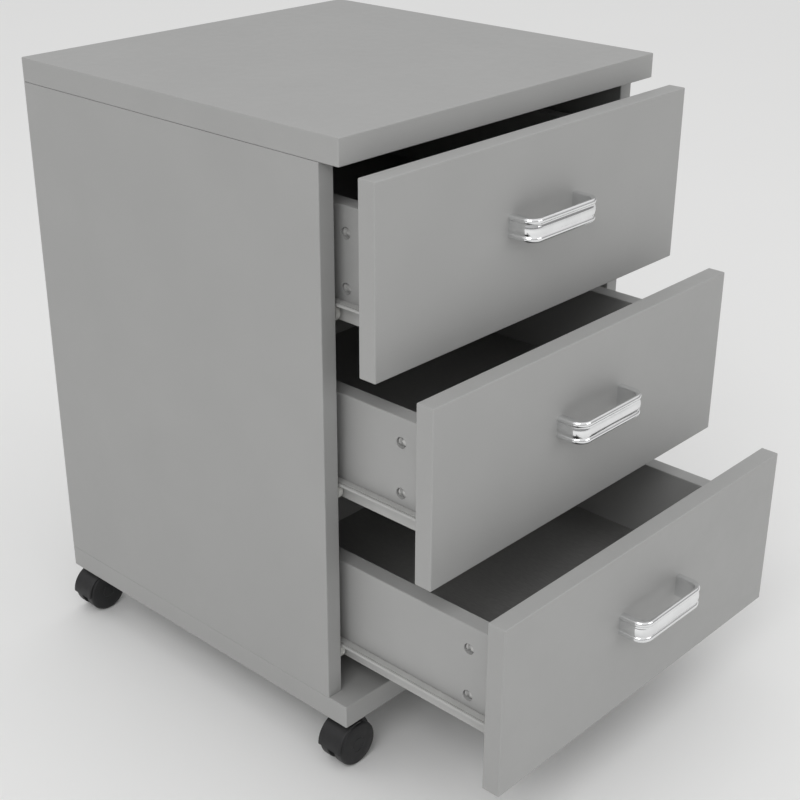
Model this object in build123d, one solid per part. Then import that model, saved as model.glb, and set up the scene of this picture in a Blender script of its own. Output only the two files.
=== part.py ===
"""Rolling pedestal cabinet: three drawers on roller runners in a melamine board carcass on casters.

Millimetres. +X is to the right seen from the front, +Y to the back, +Z up. The origin is on the floor,
under the middle of the carcass. Every drawer is drawn pulled out by its OPEN_AT_REST value.
"""
import os

from build123d import *

# Carcass boards
WIDTH = 400.0            # overall, left to right
DEPTH = 398.0            # top board, front edge to rear edge
TOP_T = 22.0
BASE_T = 22.0
SIDE_T = 16.0
BACK_T = 16.0
SIDE_H = 481.0           # clear height between base board and top board
SIDE_SETBACK = 21.5      # front edge of a side board behind the front edge of the top board
EDGE_R = 1.0             # eased edges of the boards

# Drawer fronts
FRONT_T = 17.0
FRONT_GAP_TOP = 3.5
FRONT_GAP_BETWEEN = 1.25
FRONT_GAP_BOTTOM = 1.0
FRONT_GAP_SIDE = 0.0     # the fronts are as wide as the carcass
BUMPER_GAP = 1.5         # closed front to the front edge of the side boards
DRAWER_NAMES = ("top_drawer", "middle_drawer", "bottom_drawer")
OPEN_AT_REST = (39.0, 98.0, 173.0)

# Drawer boxes
BOX_SIDE_T = 16.0
BOX_SIDE_DROP = 36.0     # top edge of a box side below the top edge of its front
BOX_SIDE_UP = 28.0       # lower edge of a box side above the lower edge of its front
BOX_REAR_CLEAR = 17.0    # closed box to the back board
BOX_BACK_T = 16.0
RUNNER_SPACE = 12.5      # between a box side and the carcass side
FLOOR_T = 5.0            # drawer bottom board
FLOOR_UP = 13.0          # underside of the drawer bottom above the lower edge of the box sides
GROOVE_DEPTH = 6.0
GROOVE_CLEAR = 0.3       # at the edge of the drawer bottom in its groove

# Cam fittings that hold a front to its box sides
CAM_R = 5.0
CAM_DEPTH = 12.5
CAM_SETBACK = 41.0       # cam centre behind the front
CAM_DOWN = 22.0          # upper cam centre below the top edge of the box side
CAM_UP = 26.5            # lower cam centre above the lower edge of the box side
CAM_BOLT_R = 2.5
CAM_BOLT_IN_FRONT = 11.0
CAM_SLOT = (5.6, 1.2, 1.6)  # length, width and depth of one arm of the cross recess

# Bow handles
HANDLE_LENGTH = 92.0
HANDLE_H = 20.0
HANDLE_PROJECTION = 26.0
HANDLE_T = 3.6
HANDLE_LEG_T = 7.0
HANDLE_CORNER_R = 13.0
HANDLE_INNER_R = 7.5
HANDLE_DROP = 60.0       # top edge of the handle below the top edge of the front
HANDLE_GROOVE = (1.6, 0.9)  # width and depth of the two grooves along the band
HANDLE_GROOVE_AT = 5.0   # groove centre from the upper or lower edge of the band
HANDLE_GROOVE_END = 2.0  # a groove stops this far before the drawer front
HANDLE_SCREW_R = 2.0
HANDLE_SCREW_IN = 9.0    # thread inside a handle leg

# Bottom-mount roller runners
STEEL = 1.2
MEMBER_WEB_H = 17.6      # drawer member, from its running flange to its lower edge
MEMBER_SCREW_IN = 60.0   # its screws from either end
FLANGE_W = 9.8           # running flange, outwards from the box side
LIP_H = 1.8
FOOT_W = 10.0            # flange under the box side
FRONT_CLEAR = 0.5        # drawer member behind the front
ROLLER_ROOM = 22.0       # running flange stops this far before the rear end of the member
REAR_ROLLER_R = 9.5
REAR_ROLLER_W = 8.6
REAR_ROLLER_IN = 11.0    # its axle before the rear end of the member
GUIDE_ROLLER_R = 8.4
GUIDE_ROLLER_W = 5.2
GUIDE_ROLLER_IN = 10.5   # its axle behind the front end of the cabinet member
ROLL_GAP = 0.2           # between a roller and the track that it runs on
ROLLER_TOP = 0.3         # rear roller stands this far above the running flange
ROLLER_SIDE_GAP = 0.5
ROLLER_EDGE_R = 0.5
ROLLER_RING = (1.8, 2.2, 0.7)  # groove round a face: from the pin, from the rim, depth
CHANNEL_W = 9.3          # flanges of the cabinet member, from the carcass side
CHANNEL_HEADROOM = 0.7   # upper flange above the running flange
CHANNEL_FRONT = 2.0      # cabinet member behind the front edge of the side board
CHANNEL_REAR_CLEAR = 8.5 # cabinet member to the back board
CHANNEL_SCREW_IN = (50.0, 60.0)  # its screws from its front and rear ends
PIN_R = 2.0
PIN_CLEAR = 0.05
PIN_END = 0.2            # a pin past the face of its roller, or short of it

# Fasteners
RUNNER_SCREW_R = 1.6
RUNNER_SCREW_HEAD = (3.2, 1.2)  # radius and thickness
RUNNER_SCREW_LENGTH = 13.0
CARCASS_SCREW_R = 3.0
CARCASS_SCREW_HEAD = (4.5, 4.0)
CARCASS_SCREW_LENGTH = 50.0
BOX_SCREW_R = 2.0
BOX_SCREW_HEAD = (4.0, 3.0)
BOX_SCREW_LENGTH = 45.0
BOX_SCREW_IN = 18.0      # from the top edge of the box back, and from the drawer bottom
HANDLE_SCREW_SINK = 1.5  # thickness of the head in the back of the front
HANDLE_SCREW_END = 1.0   # short of the end of its thread
DOWEL_R = 4.0
DOWEL_LENGTH = 28.0
TOP_CAM_R = 7.5
TOP_CAM_DEPTH = 12.5
TOP_CAM_DOWN = 24.0      # cam centre below the top board
TOP_CAM_SLOT = (9.0, 1.6, 2.0)  # length, width and depth of its driver slot
TOP_BOLT_R = 3.0
TOP_BOLT_IN = 12.0       # thread in the top board
DOWEL_IN = (30.0, 50.0)  # dowels from the front edge of a side board, and from its rear edge
FITTING_IN = (62.0, 82.0)  # cam fittings and long screws, likewise
BACK_DOWEL_IN = 60.0     # from either end of the back board

# Casters
WHEEL_R = 21.0
WHEEL_HEADROOM = 7.0     # top of a wheel to the base board
WHEEL_W = 10.5
WHEEL_GAP = 8.0          # between the two wheels of a caster
WHEEL_SHOULDER = (4.0, 4.5)  # rounded outer corner, inwards from the tread and along the axle
WHEEL_SHOULDER_R = 4.6
WHEEL_CROWN = 0.5
WHEEL_EDGE = 1.0
CASTER_INSET = 16.5      # swivel axis from the front or rear edge of the base board
CASTER_SIDE_INSET = 31.0 # swivel axis from the side edge of the base board
TRAIL = 14.0             # wheel axle from the swivel axis
HOOD_SIDE_GAP = 0.4
HOOD_GAP = 0.9           # mudguard to tread
HOOD_T = 1.8
HOOD_W = 27.0
HOOD_EDGE_R = 1.2
HOOD_FRONT = 4.0         # front end of the mudguard past the axle
HOOD_HUB_IN = 5.0        # round plate between the wheels, inside their treads
HOOD_NECK = (5.5, 6.0)   # neck past the swivel axis, and its underside above the axle
HOOD_BOSS = (6.6, 4.6)   # radius and height of the boss under the collar
SWIVEL_CLEAR = 0.2       # hood to collar
AXLE_R = 2.5
AXLE_CLEAR = 0.06
AXLE_IN_WHEEL = 7.0
AXLE_END_CLEAR = 0.3
AXLE_CHAMFER = 0.4
STEM_R = 4.0
STEM_END = 1.0           # stem short of the top of its socket
STEM_COLLAR = (7.5, 1.5) # radius and thickness
STEM_PIN_R = 2.25
STEM_PIN_LENGTH = 15.0
STEM_PIN_END = 0.5       # hole deeper than the pin
SOCKET_R = 5.5
SOCKET_COVER = 3.0       # board left over a socket

# Levels and planes that follow from the sizes above
Z_BASE = 2 * WHEEL_R + WHEEL_HEADROOM
Z_FLOOR = Z_BASE + BASE_T
Z_CEILING = Z_FLOOR + SIDE_H
Z_TOP = Z_CEILING + TOP_T
Y_FRONT = -DEPTH / 2
Y_REAR = DEPTH / 2
Y_SIDE = Y_FRONT + SIDE_SETBACK
SOCKET_LENGTH = BASE_T - SOCKET_COVER
STEM_IN = SOCKET_LENGTH - STEM_END
X_SIDE = WIDTH / 2 - SIDE_T          # inner face of a side board
X_BOX = X_SIDE - RUNNER_SPACE        # outer face of a box side
X_BOX_IN = X_BOX - BOX_SIDE_T
Y_SHUT = Y_SIDE - BUMPER_GAP         # back face of a closed front
Y_INSIDE_BACK = Y_REAR - BACK_T
FRONTS_H = SIDE_H - FRONT_GAP_TOP - FRONT_GAP_BOTTOM
FRONT_H = (FRONTS_H - (len(DRAWER_NAMES) - 1) * FRONT_GAP_BETWEEN) / len(DRAWER_NAMES)
BOX_SIDE_H = FRONT_H - BOX_SIDE_DROP - BOX_SIDE_UP
BOX_LENGTH = Y_INSIDE_BACK - BOX_REAR_CLEAR - Y_SHUT  # behind the front
CHANNEL_LENGTH = Y_INSIDE_BACK - CHANNEL_REAR_CLEAR - Y_SIDE - CHANNEL_FRONT
DOWEL_Y = (Y_SIDE + DOWEL_IN[0], Y_REAR - DOWEL_IN[1])
FITTING_Y = (Y_SIDE + FITTING_IN[0], Y_REAR - FITTING_IN[1])
BACK_DOWEL_X = (-X_SIDE + BACK_DOWEL_IN, X_SIDE - BACK_DOWEL_IN)
X_REAR_IN = X_BOX + STEEL + ROLLER_SIDE_GAP           # inner face of a rear roller
X_REAR_OUT = X_REAR_IN + REAR_ROLLER_W
X_GUIDE_OUT = X_BOX + FLANGE_W - STEEL - ROLLER_SIDE_GAP  # outer face of a guide roller
X_GUIDE_IN = X_GUIDE_OUT - GUIDE_ROLLER_W
HANDLE_SCREW_X = HANDLE_LENGTH / 2 - HANDLE_LEG_T / 2
SIDES = (-1, 1)
OVERRUN = 1.0                        # a cutting tool past the face that it cuts

parts = {}


def block(x0, x1, y0, y1, z0, z1):
    """A box between two corners, given in any order."""
    middle = ((x0 + x1) / 2, (y0 + y1) / 2, (z0 + z1) / 2)
    return Pos(*middle) * Box(abs(x1 - x0), abs(y1 - y0), abs(z1 - z0))


def rod_x(radius, x0, x1, y, z):
    """A round bar along X."""
    return Pos((x0 + x1) / 2, y, z) * Rot(0, 90, 0) * Cylinder(radius, abs(x1 - x0))


def rod_y(radius, x, y0, y1, z):
    """A round bar along Y."""
    return Pos(x, (y0 + y1) / 2, z) * Rot(90, 0, 0) * Cylinder(radius, abs(y1 - y0))


def rod_z(radius, x, y, z0, z1):
    """A round bar along Z."""
    return Pos(x, y, (z0 + z1) / 2) * Cylinder(radius, abs(z1 - z0))


def eased(shape, axes, radius=EDGE_R):
    """Round the edges of a board that run along the named axes."""
    edges = ShapeList()
    for axis in axes:
        edges += shape.edges().filter_by(axis)
    return fillet(edges, radius)


def cut(shape, tools):
    """Take every tool away from the shape."""
    for tool in tools:
        shape = shape - tool
    return shape


def joined(pieces):
    """One solid from pieces that meet."""
    whole = pieces[0]
    for piece in pieces[1:]:
        whole = whole + piece
    return whole


def caster_places():
    """Name and swivel axis of each caster."""
    places = []
    for end, y in (("front", Y_FRONT + CASTER_INSET), ("rear", Y_REAR - CASTER_INSET)):
        for side, x in (("left", -WIDTH / 2 + CASTER_SIDE_INSET), ("right", WIDTH / 2 - CASTER_SIDE_INSET)):
            places.append((f"{end}_{side}_caster", x, y))
    return places


def carcass_dowels():
    """Wooden dowels between the upright boards and the top and base boards."""
    dowels = []
    x_middle = X_SIDE + SIDE_T / 2
    y_middle = Y_REAR - BACK_T / 2
    places = [(s * x_middle, y) for s in SIDES for y in DOWEL_Y]
    places += [(x, y_middle) for x in BACK_DOWEL_X]
    for x, y in places:
        for z in (Z_FLOOR, Z_CEILING):
            dowels.append(rod_z(DOWEL_R, x, y, z - DOWEL_LENGTH / 2, z + DOWEL_LENGTH / 2))
    return dowels


def carcass_screws():
    """Long screws up through the base board into the side boards, heads sunk in the underside."""
    head_r, head_t = CARCASS_SCREW_HEAD
    screws = []
    for s in SIDES:
        for y in FITTING_Y:
            x = s * (X_SIDE + SIDE_T / 2)
            shank = rod_z(CARCASS_SCREW_R, x, y, Z_BASE + head_t, Z_BASE + CARCASS_SCREW_LENGTH)
            screws.append(joined([rod_z(head_r, x, y, Z_BASE, Z_BASE + head_t), shank]))
    return screws


def top_cam_fittings():
    """Cam housings in the side boards, and the bolts that they draw out of the top board."""
    housings = []
    bolts = []
    for s in SIDES:
        for y in FITTING_Y:
            z = Z_CEILING - TOP_CAM_DOWN
            bolt = rod_z(TOP_BOLT_R, s * (X_SIDE + SIDE_T / 2), y, z, Z_CEILING + TOP_BOLT_IN)
            housing = rod_x(TOP_CAM_R, s * X_SIDE, s * (X_SIDE + TOP_CAM_DEPTH), y, z)
            long, wide, deep = TOP_CAM_SLOT
            x_deep = s * (X_SIDE + deep)
            recess = block(s * X_SIDE, x_deep, y - long / 2, y + long / 2, z - wide / 2, z + wide / 2)
            housings.append(cut(housing, [bolt, recess]))
            bolts.append(bolt)
    return housings, bolts


def channel(side, z_run):
    """Cabinet member: a channel on the side board, with the guide roller's pin riveted to its front end."""
    x_wall = side * X_SIDE
    x_web = side * (X_SIDE - STEEL)
    x_edge = side * (X_SIDE - CHANNEL_W)
    y0 = Y_SIDE + CHANNEL_FRONT
    y1 = y0 + CHANNEL_LENGTH
    z_low = z_run + ROLLER_TOP - 2 * REAR_ROLLER_R - ROLL_GAP
    z_high = z_run + CHANNEL_HEADROOM
    web = block(x_wall, x_web, y0, y1, z_low - STEEL, z_high + STEEL)
    lower = block(x_wall, x_edge, y0 + 2 * GUIDE_ROLLER_IN, y1, z_low - STEEL, z_low)
    upper = block(x_wall, x_edge, y0 + 2 * GUIDE_ROLLER_IN, y1, z_high, z_high + STEEL)
    pin = rod_x(PIN_R, x_wall, side * (X_GUIDE_IN + PIN_END), y0 + GUIDE_ROLLER_IN, guide_roller_z(z_run))
    return joined([web, lower, upper, pin])


def channel_screw_places(side, z_run):
    """Head centres of the screws that hold one cabinet member."""
    z = z_run - MEMBER_WEB_H / 2
    near, far = CHANNEL_SCREW_IN
    return [(side * X_SIDE, Y_SIDE + CHANNEL_FRONT + offset, z) for offset in (near, CHANNEL_LENGTH - far)]


def guide_roller_z(z_run):
    """Axle height of the roller that carries the running flange."""
    return z_run - STEEL - ROLL_GAP - GUIDE_ROLLER_R


def roller(radius, side, x_in, x_out, y, z):
    """A nylon roller with a shallow groove round each face and a running bore."""
    body = rod_x(radius, side * x_in, side * x_out, y, z)
    body = fillet(body.edges(), ROLLER_EDGE_R)
    bore = rod_x(PIN_R + PIN_CLEAR, side * (x_in - OVERRUN), side * (x_out + OVERRUN), y, z)
    hub, rim, deep = ROLLER_RING
    ring = rod_x(radius - rim, side * x_in, side * (x_in + deep), y, z)
    ring = ring - rod_x(PIN_R + hub, side * (x_in - OVERRUN), side * (x_out + OVERRUN), y, z)
    return cut(body, [bore, ring])


def handle(y_face, z_top):
    """Bow handle: a band bent round two corners, with two grooves along it and a tapped hole in each leg."""
    half = HANDLE_LENGTH / 2
    y_grip = y_face - HANDLE_PROJECTION
    z_low = z_top - HANDLE_H
    outer = block(-half, half, y_grip, y_face, z_low, z_top)
    outer_corners = outer.edges().filter_by(Axis.Z).group_by(Axis.Y)[0]
    outer = fillet(outer_corners, HANDLE_CORNER_R)
    y_room = y_face + OVERRUN
    z_under = z_low - OVERRUN
    z_over = z_top + OVERRUN
    inner = block(-half + HANDLE_LEG_T, half - HANDLE_LEG_T, y_grip + HANDLE_T, y_room, z_under, z_over)
    inner_corners = inner.edges().filter_by(Axis.Z).group_by(Axis.Y)[0]
    inner = fillet(inner_corners, HANDLE_INNER_R)
    width, depth = HANDLE_GROOVE
    core = block(-half + depth, half - depth, y_grip + depth, y_room, z_under, z_over)
    core_corners = core.edges().filter_by(Axis.Z).group_by(Axis.Y)[0]
    core = fillet(core_corners, HANDLE_CORNER_R - depth)
    band = outer
    for z in (z_low + HANDLE_GROOVE_AT, z_top - HANDLE_GROOVE_AT):
        y_end = y_face - HANDLE_GROOVE_END
        slab = block(-half - OVERRUN, half + OVERRUN, y_grip - OVERRUN, y_end, z - width / 2, z + width / 2)
        band = band - (slab - core)
    z_hole = z_low + HANDLE_H / 2
    y_hole = y_face - HANDLE_SCREW_IN
    holes = [rod_y(HANDLE_SCREW_R, s * HANDLE_SCREW_X, y_hole, y_room, z_hole) for s in SIDES]
    return cut(band - inner, holes)


def drawer_member(side, y_back_of_front, z_side_low):
    """Drawer member: a folded strip round the lower edge of a box side, with its rear roller's pin."""
    x_wall = side * X_BOX
    x_web = side * (X_BOX + STEEL)
    x_edge = side * (X_BOX + FLANGE_W)
    y0 = y_back_of_front + FRONT_CLEAR
    y1 = y_back_of_front + BOX_LENGTH
    z_foot = z_side_low - STEEL
    z_run = z_foot + MEMBER_WEB_H
    web = block(x_wall, x_web, y0, y1, z_foot, z_run)
    foot = block(side * (X_BOX - FOOT_W), x_web, y0, y1, z_foot, z_side_low)
    flange = block(x_wall, x_edge, y0, y1 - ROLLER_ROOM, z_run - STEEL, z_run)
    lip = block(side * (X_BOX + FLANGE_W - STEEL), x_edge, y0, y1 - ROLLER_ROOM, z_run - STEEL - LIP_H, z_run)
    pin = rod_x(PIN_R, x_wall, side * (X_REAR_OUT - PIN_END), y1 - REAR_ROLLER_IN, rear_roller_z(z_run))
    return joined([web, foot, flange, lip, pin])


def rear_roller_z(z_run):
    """Axle height of the roller at the rear end of the drawer member."""
    return z_run + ROLLER_TOP - REAR_ROLLER_R


def drawer(index, name, opening):
    """Every piece of one drawer, pulled out by the opening, and the rollers that it runs on."""
    y_back = Y_SHUT - opening                     # back face of the front
    y_face = y_back - FRONT_T
    z_top = Z_CEILING - FRONT_GAP_TOP - index * (FRONT_H + FRONT_GAP_BETWEEN)
    z_low = z_top - FRONT_H
    z_side_top = z_top - BOX_SIDE_DROP
    z_side_low = z_side_top - BOX_SIDE_H
    z_under = z_side_low + FLOOR_UP
    z_inside = z_under + FLOOR_T
    y_end = y_back + BOX_LENGTH
    x_front = WIDTH / 2 - FRONT_GAP_SIDE
    x_cam = X_BOX - BOX_SIDE_T / 2
    reach = GROOVE_DEPTH - GROOVE_CLEAR

    x_groove = X_BOX_IN + GROOVE_DEPTH
    floor_cut = block(-x_groove, x_groove, y_back - GROOVE_DEPTH, y_end + OVERRUN, z_under, z_inside)
    cam_levels = (z_side_top - CAM_DOWN, z_side_low + CAM_UP)
    cam_places = [(s * x_cam, y_back + CAM_SETBACK, z) for s in SIDES for z in cam_levels]
    bolts = [rod_y(CAM_BOLT_R, x, y_back - CAM_BOLT_IN_FRONT, y, z) for x, y, z in cam_places]
    cams = []
    for x, y, z in cam_places:
        s = 1 if x > 0 else -1
        long, wide, deep = CAM_SLOT
        x_out = s * X_BOX
        x_deep = s * (X_BOX - deep)
        cross = block(x_out, x_deep, y - long / 2, y + long / 2, z - wide / 2, z + wide / 2)
        cross += block(x_out, x_deep, y - wide / 2, y + wide / 2, z - long / 2, z + long / 2)
        housing = rod_x(CAM_R, x_out, s * (X_BOX - CAM_DEPTH), y, z)
        cams.append(cut(housing, [cross] + [b for b in bolts if b.center().X * s > 0]))

    z_hole = z_top - HANDLE_DROP - HANDLE_H / 2
    head_r, head_t = BOX_SCREW_HEAD
    handle_screws = []
    y_head = y_back - HANDLE_SCREW_SINK
    for x in (-HANDLE_SCREW_X, HANDLE_SCREW_X):
        shank = rod_y(HANDLE_SCREW_R, x, y_face - HANDLE_SCREW_IN + HANDLE_SCREW_END, y_head, z_hole)
        handle_screws.append(joined([shank, rod_y(head_r, x, y_head, y_back, z_hole)]))

    box_screws = []
    y_back_board = y_end - BOX_BACK_T / 2
    for s in SIDES:
        for z in (z_inside + BOX_SCREW_IN, z_side_top - BOX_SCREW_IN):
            head = rod_x(head_r, s * X_BOX, s * (X_BOX - head_t), y_back_board, z)
            shank = rod_x(BOX_SCREW_R, s * (X_BOX - head_t), s * (X_BOX - BOX_SCREW_LENGTH), y_back_board, z)
            box_screws.append(joined([head, shank]))

    runner_screws = []
    head_r, head_t = RUNNER_SCREW_HEAD
    for s in SIDES:
        x = s * (X_BOX - FOOT_W / 2)
        for y in (y_back + MEMBER_SCREW_IN, y_end - MEMBER_SCREW_IN):
            z_foot = z_side_low - STEEL
            head = rod_z(head_r, x, y, z_foot - head_t, z_foot)
            shank = rod_z(RUNNER_SCREW_R, x, y, z_foot, z_foot + RUNNER_SCREW_LENGTH)
            runner_screws.append(joined([head, shank]))
    screws = handle_screws + box_screws + runner_screws

    front = eased(block(-x_front, x_front, y_face, y_back, z_low, z_top), (Axis.X, Axis.Y, Axis.Z))
    front = cut(front, [floor_cut] + bolts + handle_screws)
    parts[f"{name}_front"] = [front]
    for s, word in ((-1, "left"), (1, "right")):
        board = block(s * X_BOX, s * X_BOX_IN, y_back, y_end, z_side_low, z_side_top)
        board = fillet(board.edges().filter_by(Axis.Y).group_by(Axis.Z)[-1], EDGE_R)
        near = [b for b in bolts + box_screws + runner_screws if b.center().X * s > 0]
        x_seat = s * (X_BOX - CAM_DEPTH)
        seats = [rod_x(CAM_R, s * X_BOX, x_seat, y, z) for x, y, z in cam_places if x * s > 0]
        parts[f"{name}_{word}_side"] = [cut(board, [floor_cut] + near + seats)]
    back = block(-X_BOX_IN, X_BOX_IN, y_end - BOX_BACK_T, y_end, z_inside, z_side_top)
    back = fillet(back.edges().filter_by(Axis.X).group_by(Axis.Z)[-1], EDGE_R)
    parts[f"{name}_back"] = [cut(back, box_screws)]
    parts[f"{name}_bottom"] = [
        block(-X_BOX_IN - reach, X_BOX_IN + reach, y_back - reach, y_end, z_under, z_inside)
    ]
    parts[f"{name}_handle"] = [handle(y_face, z_top - HANDLE_DROP)]
    parts[f"{name}_front_cams"] = cams + bolts
    parts[f"{name}_screws"] = screws
    members = [drawer_member(s, y_back, z_side_low) for s in SIDES]
    parts[f"{name}_runners"] = [cut(member, runner_screws) for member in members]

    z_run = z_side_low - STEEL + MEMBER_WEB_H
    y_roller = y_end - REAR_ROLLER_IN
    z_roller = rear_roller_z(z_run)
    parts[f"{name}_rear_rollers"] = [
        roller(REAR_ROLLER_R, s, X_REAR_IN, X_REAR_OUT, y_roller, z_roller) for s in SIDES
    ]
    y_guide = Y_SIDE + CHANNEL_FRONT + GUIDE_ROLLER_IN
    parts[f"{name}_guide_rollers"] = [
        roller(GUIDE_ROLLER_R, s, X_GUIDE_IN, X_GUIDE_OUT, y_guide, guide_roller_z(z_run)) for s in SIDES
    ]
    return z_run


def wheel(name, x, y_inner, outward):
    """One caster wheel: a rounded tread, a slightly crowned outer face and a blind bore for the axle."""
    bore_r = AXLE_R + AXLE_CLEAR
    bore_depth = AXLE_IN_WHEEL + AXLE_END_CLEAR
    round_in, round_along = WHEEL_SHOULDER
    edge = WHEEL_EDGE
    with BuildPart() as shape:
        with BuildSketch(Plane.XY):
            with BuildLine():
                tread_end = (WHEEL_R, WHEEL_W - round_along)
                rim = Polyline((bore_r, 0), (WHEEL_R - edge, 0), (WHEEL_R, edge), tread_end)
                shoulder = RadiusArc(rim @ 1, (WHEEL_R - round_in, WHEEL_W - WHEEL_CROWN), -WHEEL_SHOULDER_R)
                Polyline(shoulder @ 1, (0, WHEEL_W), (0, bore_depth), (bore_r, bore_depth), (bore_r, 0))
            make_face()
        revolve(axis=Axis.Y)
    solid = shape.part
    if outward < 0:
        solid = Rot(180, 0, 0) * solid
    parts[name] = [Pos(x, y_inner, WHEEL_R) * solid]


def caster(name, x_swivel, y_swivel):
    """Hood, axle and two wheels of one caster. Its wheels trail towards -X."""
    x = x_swivel - TRAIL
    half_web = WHEEL_GAP / 2 - HOOD_SIDE_GAP
    r_in = WHEEL_R + HOOD_GAP
    r_out = r_in + HOOD_T
    z_hood = Z_BASE - STEM_COLLAR[1] - SWIVEL_CLEAR
    half_axle = WHEEL_GAP / 2 + AXLE_IN_WHEEL

    z_over = WHEEL_R + r_out
    web = rod_y(r_out, x, y_swivel - half_web, y_swivel + half_web, WHEEL_R)
    web = web & block(x - r_out, x + r_out, y_swivel - half_web, y_swivel + half_web, WHEEL_R, z_over)
    disc = rod_y(WHEEL_R - HOOD_HUB_IN, x, y_swivel - half_web, y_swivel + half_web, WHEEL_R)
    past, above = HOOD_NECK
    neck = block(x, x_swivel + past, y_swivel - half_web, y_swivel + half_web, WHEEL_R + above, z_hood)
    boss_r, boss_h = HOOD_BOSS
    boss = rod_z(boss_r, x_swivel, y_swivel, z_hood - boss_h, z_hood)
    guard = rod_y(r_out, x, y_swivel - HOOD_W / 2, y_swivel + HOOD_W / 2, WHEEL_R)
    guard = fillet(guard.edges(), HOOD_EDGE_R)
    guard = guard - rod_y(r_in, x, y_swivel - HOOD_W, y_swivel + HOOD_W, WHEEL_R)
    guard = guard & block(x - r_out, x + HOOD_FRONT, y_swivel - HOOD_W, y_swivel + HOOD_W, WHEEL_R, z_over)
    hood = joined([web, disc, neck, boss, guard])
    z_hole = z_hood - STEM_PIN_LENGTH - STEM_PIN_END
    pin_hole = rod_z(STEM_PIN_R + AXLE_CLEAR, x_swivel, y_swivel, z_hole, z_hood + OVERRUN)
    axle_hole = rod_y(AXLE_R, x, y_swivel - half_web - OVERRUN, y_swivel + half_web + OVERRUN, WHEEL_R)
    parts[f"{name}_hood"] = [cut(hood, [pin_hole, axle_hole])]
    axle = rod_y(AXLE_R, x, y_swivel - half_axle, y_swivel + half_axle, WHEEL_R)
    parts[f"{name}_axle"] = [chamfer(axle.edges(), AXLE_CHAMFER)]
    wheel(f"{name}_front_wheel", x, y_swivel - WHEEL_GAP / 2, -1)
    wheel(f"{name}_rear_wheel", x, y_swivel + WHEEL_GAP / 2, 1)


def caster_stem(x, y):
    """Steel stem: pressed into its socket above a collar, and a swivel pin for the hood below it."""
    collar_r, collar_t = STEM_COLLAR
    upper = rod_z(STEM_R, x, y, Z_BASE, Z_BASE + STEM_IN)
    collar = rod_z(collar_r, x, y, Z_BASE - collar_t, Z_BASE)
    z_pin = Z_BASE - collar_t - SWIVEL_CLEAR - STEM_PIN_LENGTH
    lower = rod_z(STEM_PIN_R, x, y, z_pin, Z_BASE - collar_t)
    return joined([upper, collar, lower])


def caster_socket(x, y):
    """Plastic sleeve in the base board that grips a stem."""
    sleeve = rod_z(SOCKET_R, x, y, Z_BASE, Z_BASE + SOCKET_LENGTH)
    return sleeve - rod_z(STEM_R, x, y, Z_BASE - OVERRUN, Z_BASE + STEM_IN)


def carcass(runs):
    """The boards, their fittings, the cabinet members of the runners, and the casters' stems and sockets."""
    dowels = carcass_dowels()
    screws = carcass_screws()
    housings, bolts = top_cam_fittings()
    channels = [channel(s, z_run) for z_run in runs for s in SIDES]
    head_r, head_t = RUNNER_SCREW_HEAD
    channel_screws = []
    for z_run in runs:
        for s in SIDES:
            for x, y, z in channel_screw_places(s, z_run):
                head = rod_x(head_r, x - s * head_t, x, y, z)
                shank = rod_x(RUNNER_SCREW_R, x, x + s * (RUNNER_SCREW_LENGTH - head_t), y, z)
                channel_screws.append(joined([head, shank]))
    sockets = [rod_z(SOCKET_R, x, y, Z_BASE - OVERRUN, Z_BASE + SOCKET_LENGTH) for _, x, y in caster_places()]
    low = [d for d in dowels if d.center().Z < Z_CEILING - SIDE_H / 2]
    high = [d for d in dowels if d.center().Z > Z_CEILING - SIDE_H / 2]

    top = eased(block(-WIDTH / 2, WIDTH / 2, Y_FRONT, Y_REAR, Z_CEILING, Z_TOP), (Axis.X, Axis.Y, Axis.Z))
    base = eased(block(-WIDTH / 2, WIDTH / 2, Y_FRONT, Y_REAR, Z_BASE, Z_FLOOR), (Axis.X, Axis.Y, Axis.Z))
    parts["top_panel"] = [cut(top, high + bolts)]
    parts["bottom_panel"] = [cut(base, low + screws + sockets)]
    for s, word in ((-1, "left"), (1, "right")):
        board = block(s * X_SIDE, s * WIDTH / 2, Y_SIDE, Y_REAR, Z_FLOOR, Z_CEILING)
        board = eased(board, (Axis.Z,))
        near = [t for t in dowels + screws + bolts + channel_screws if t.center().X * s > X_BOX]
        z_cam = Z_CEILING - TOP_CAM_DOWN
        seats = [rod_x(TOP_CAM_R, s * X_SIDE, s * (X_SIDE + TOP_CAM_DEPTH), y, z_cam) for y in FITTING_Y]
        parts[f"{word}_side_panel"] = [cut(board, near + seats)]
    back = block(-X_SIDE, X_SIDE, Y_INSIDE_BACK, Y_REAR, Z_FLOOR, Z_CEILING)
    parts["back_panel"] = [cut(back, [d for d in dowels if abs(d.center().X) < X_SIDE])]
    parts["top_cam_fittings"] = housings + bolts
    parts["carcass_dowels"] = dowels
    parts["carcass_screws"] = screws + channel_screws
    parts["cabinet_runners"] = [cut(c, channel_screws) for c in channels]
    parts["caster_stems"] = [caster_stem(x, y) for _, x, y in caster_places()]
    parts["caster_sockets"] = [caster_socket(x, y) for _, x, y in caster_places()]


def main():
    """Build every piece and write one file for each node."""
    runs = [drawer(i, name, OPEN_AT_REST[i]) for i, name in enumerate(DRAWER_NAMES)]
    carcass(runs)
    for name, x, y in caster_places():
        caster(name, x, y)
    os.makedirs("parts", exist_ok=True)
    for name, pieces in parts.items():
        solids = [solid for piece in pieces for solid in piece.solids()]
        whole = solids[0] if len(solids) == 1 else Compound(children=solids)
        export_step(whole, f"parts/{name}.step")
    print(f"{len(parts)} nodes; {WIDTH:.1f} wide, {DEPTH:.1f} deep, {Z_TOP:.1f} high")


main()
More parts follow.
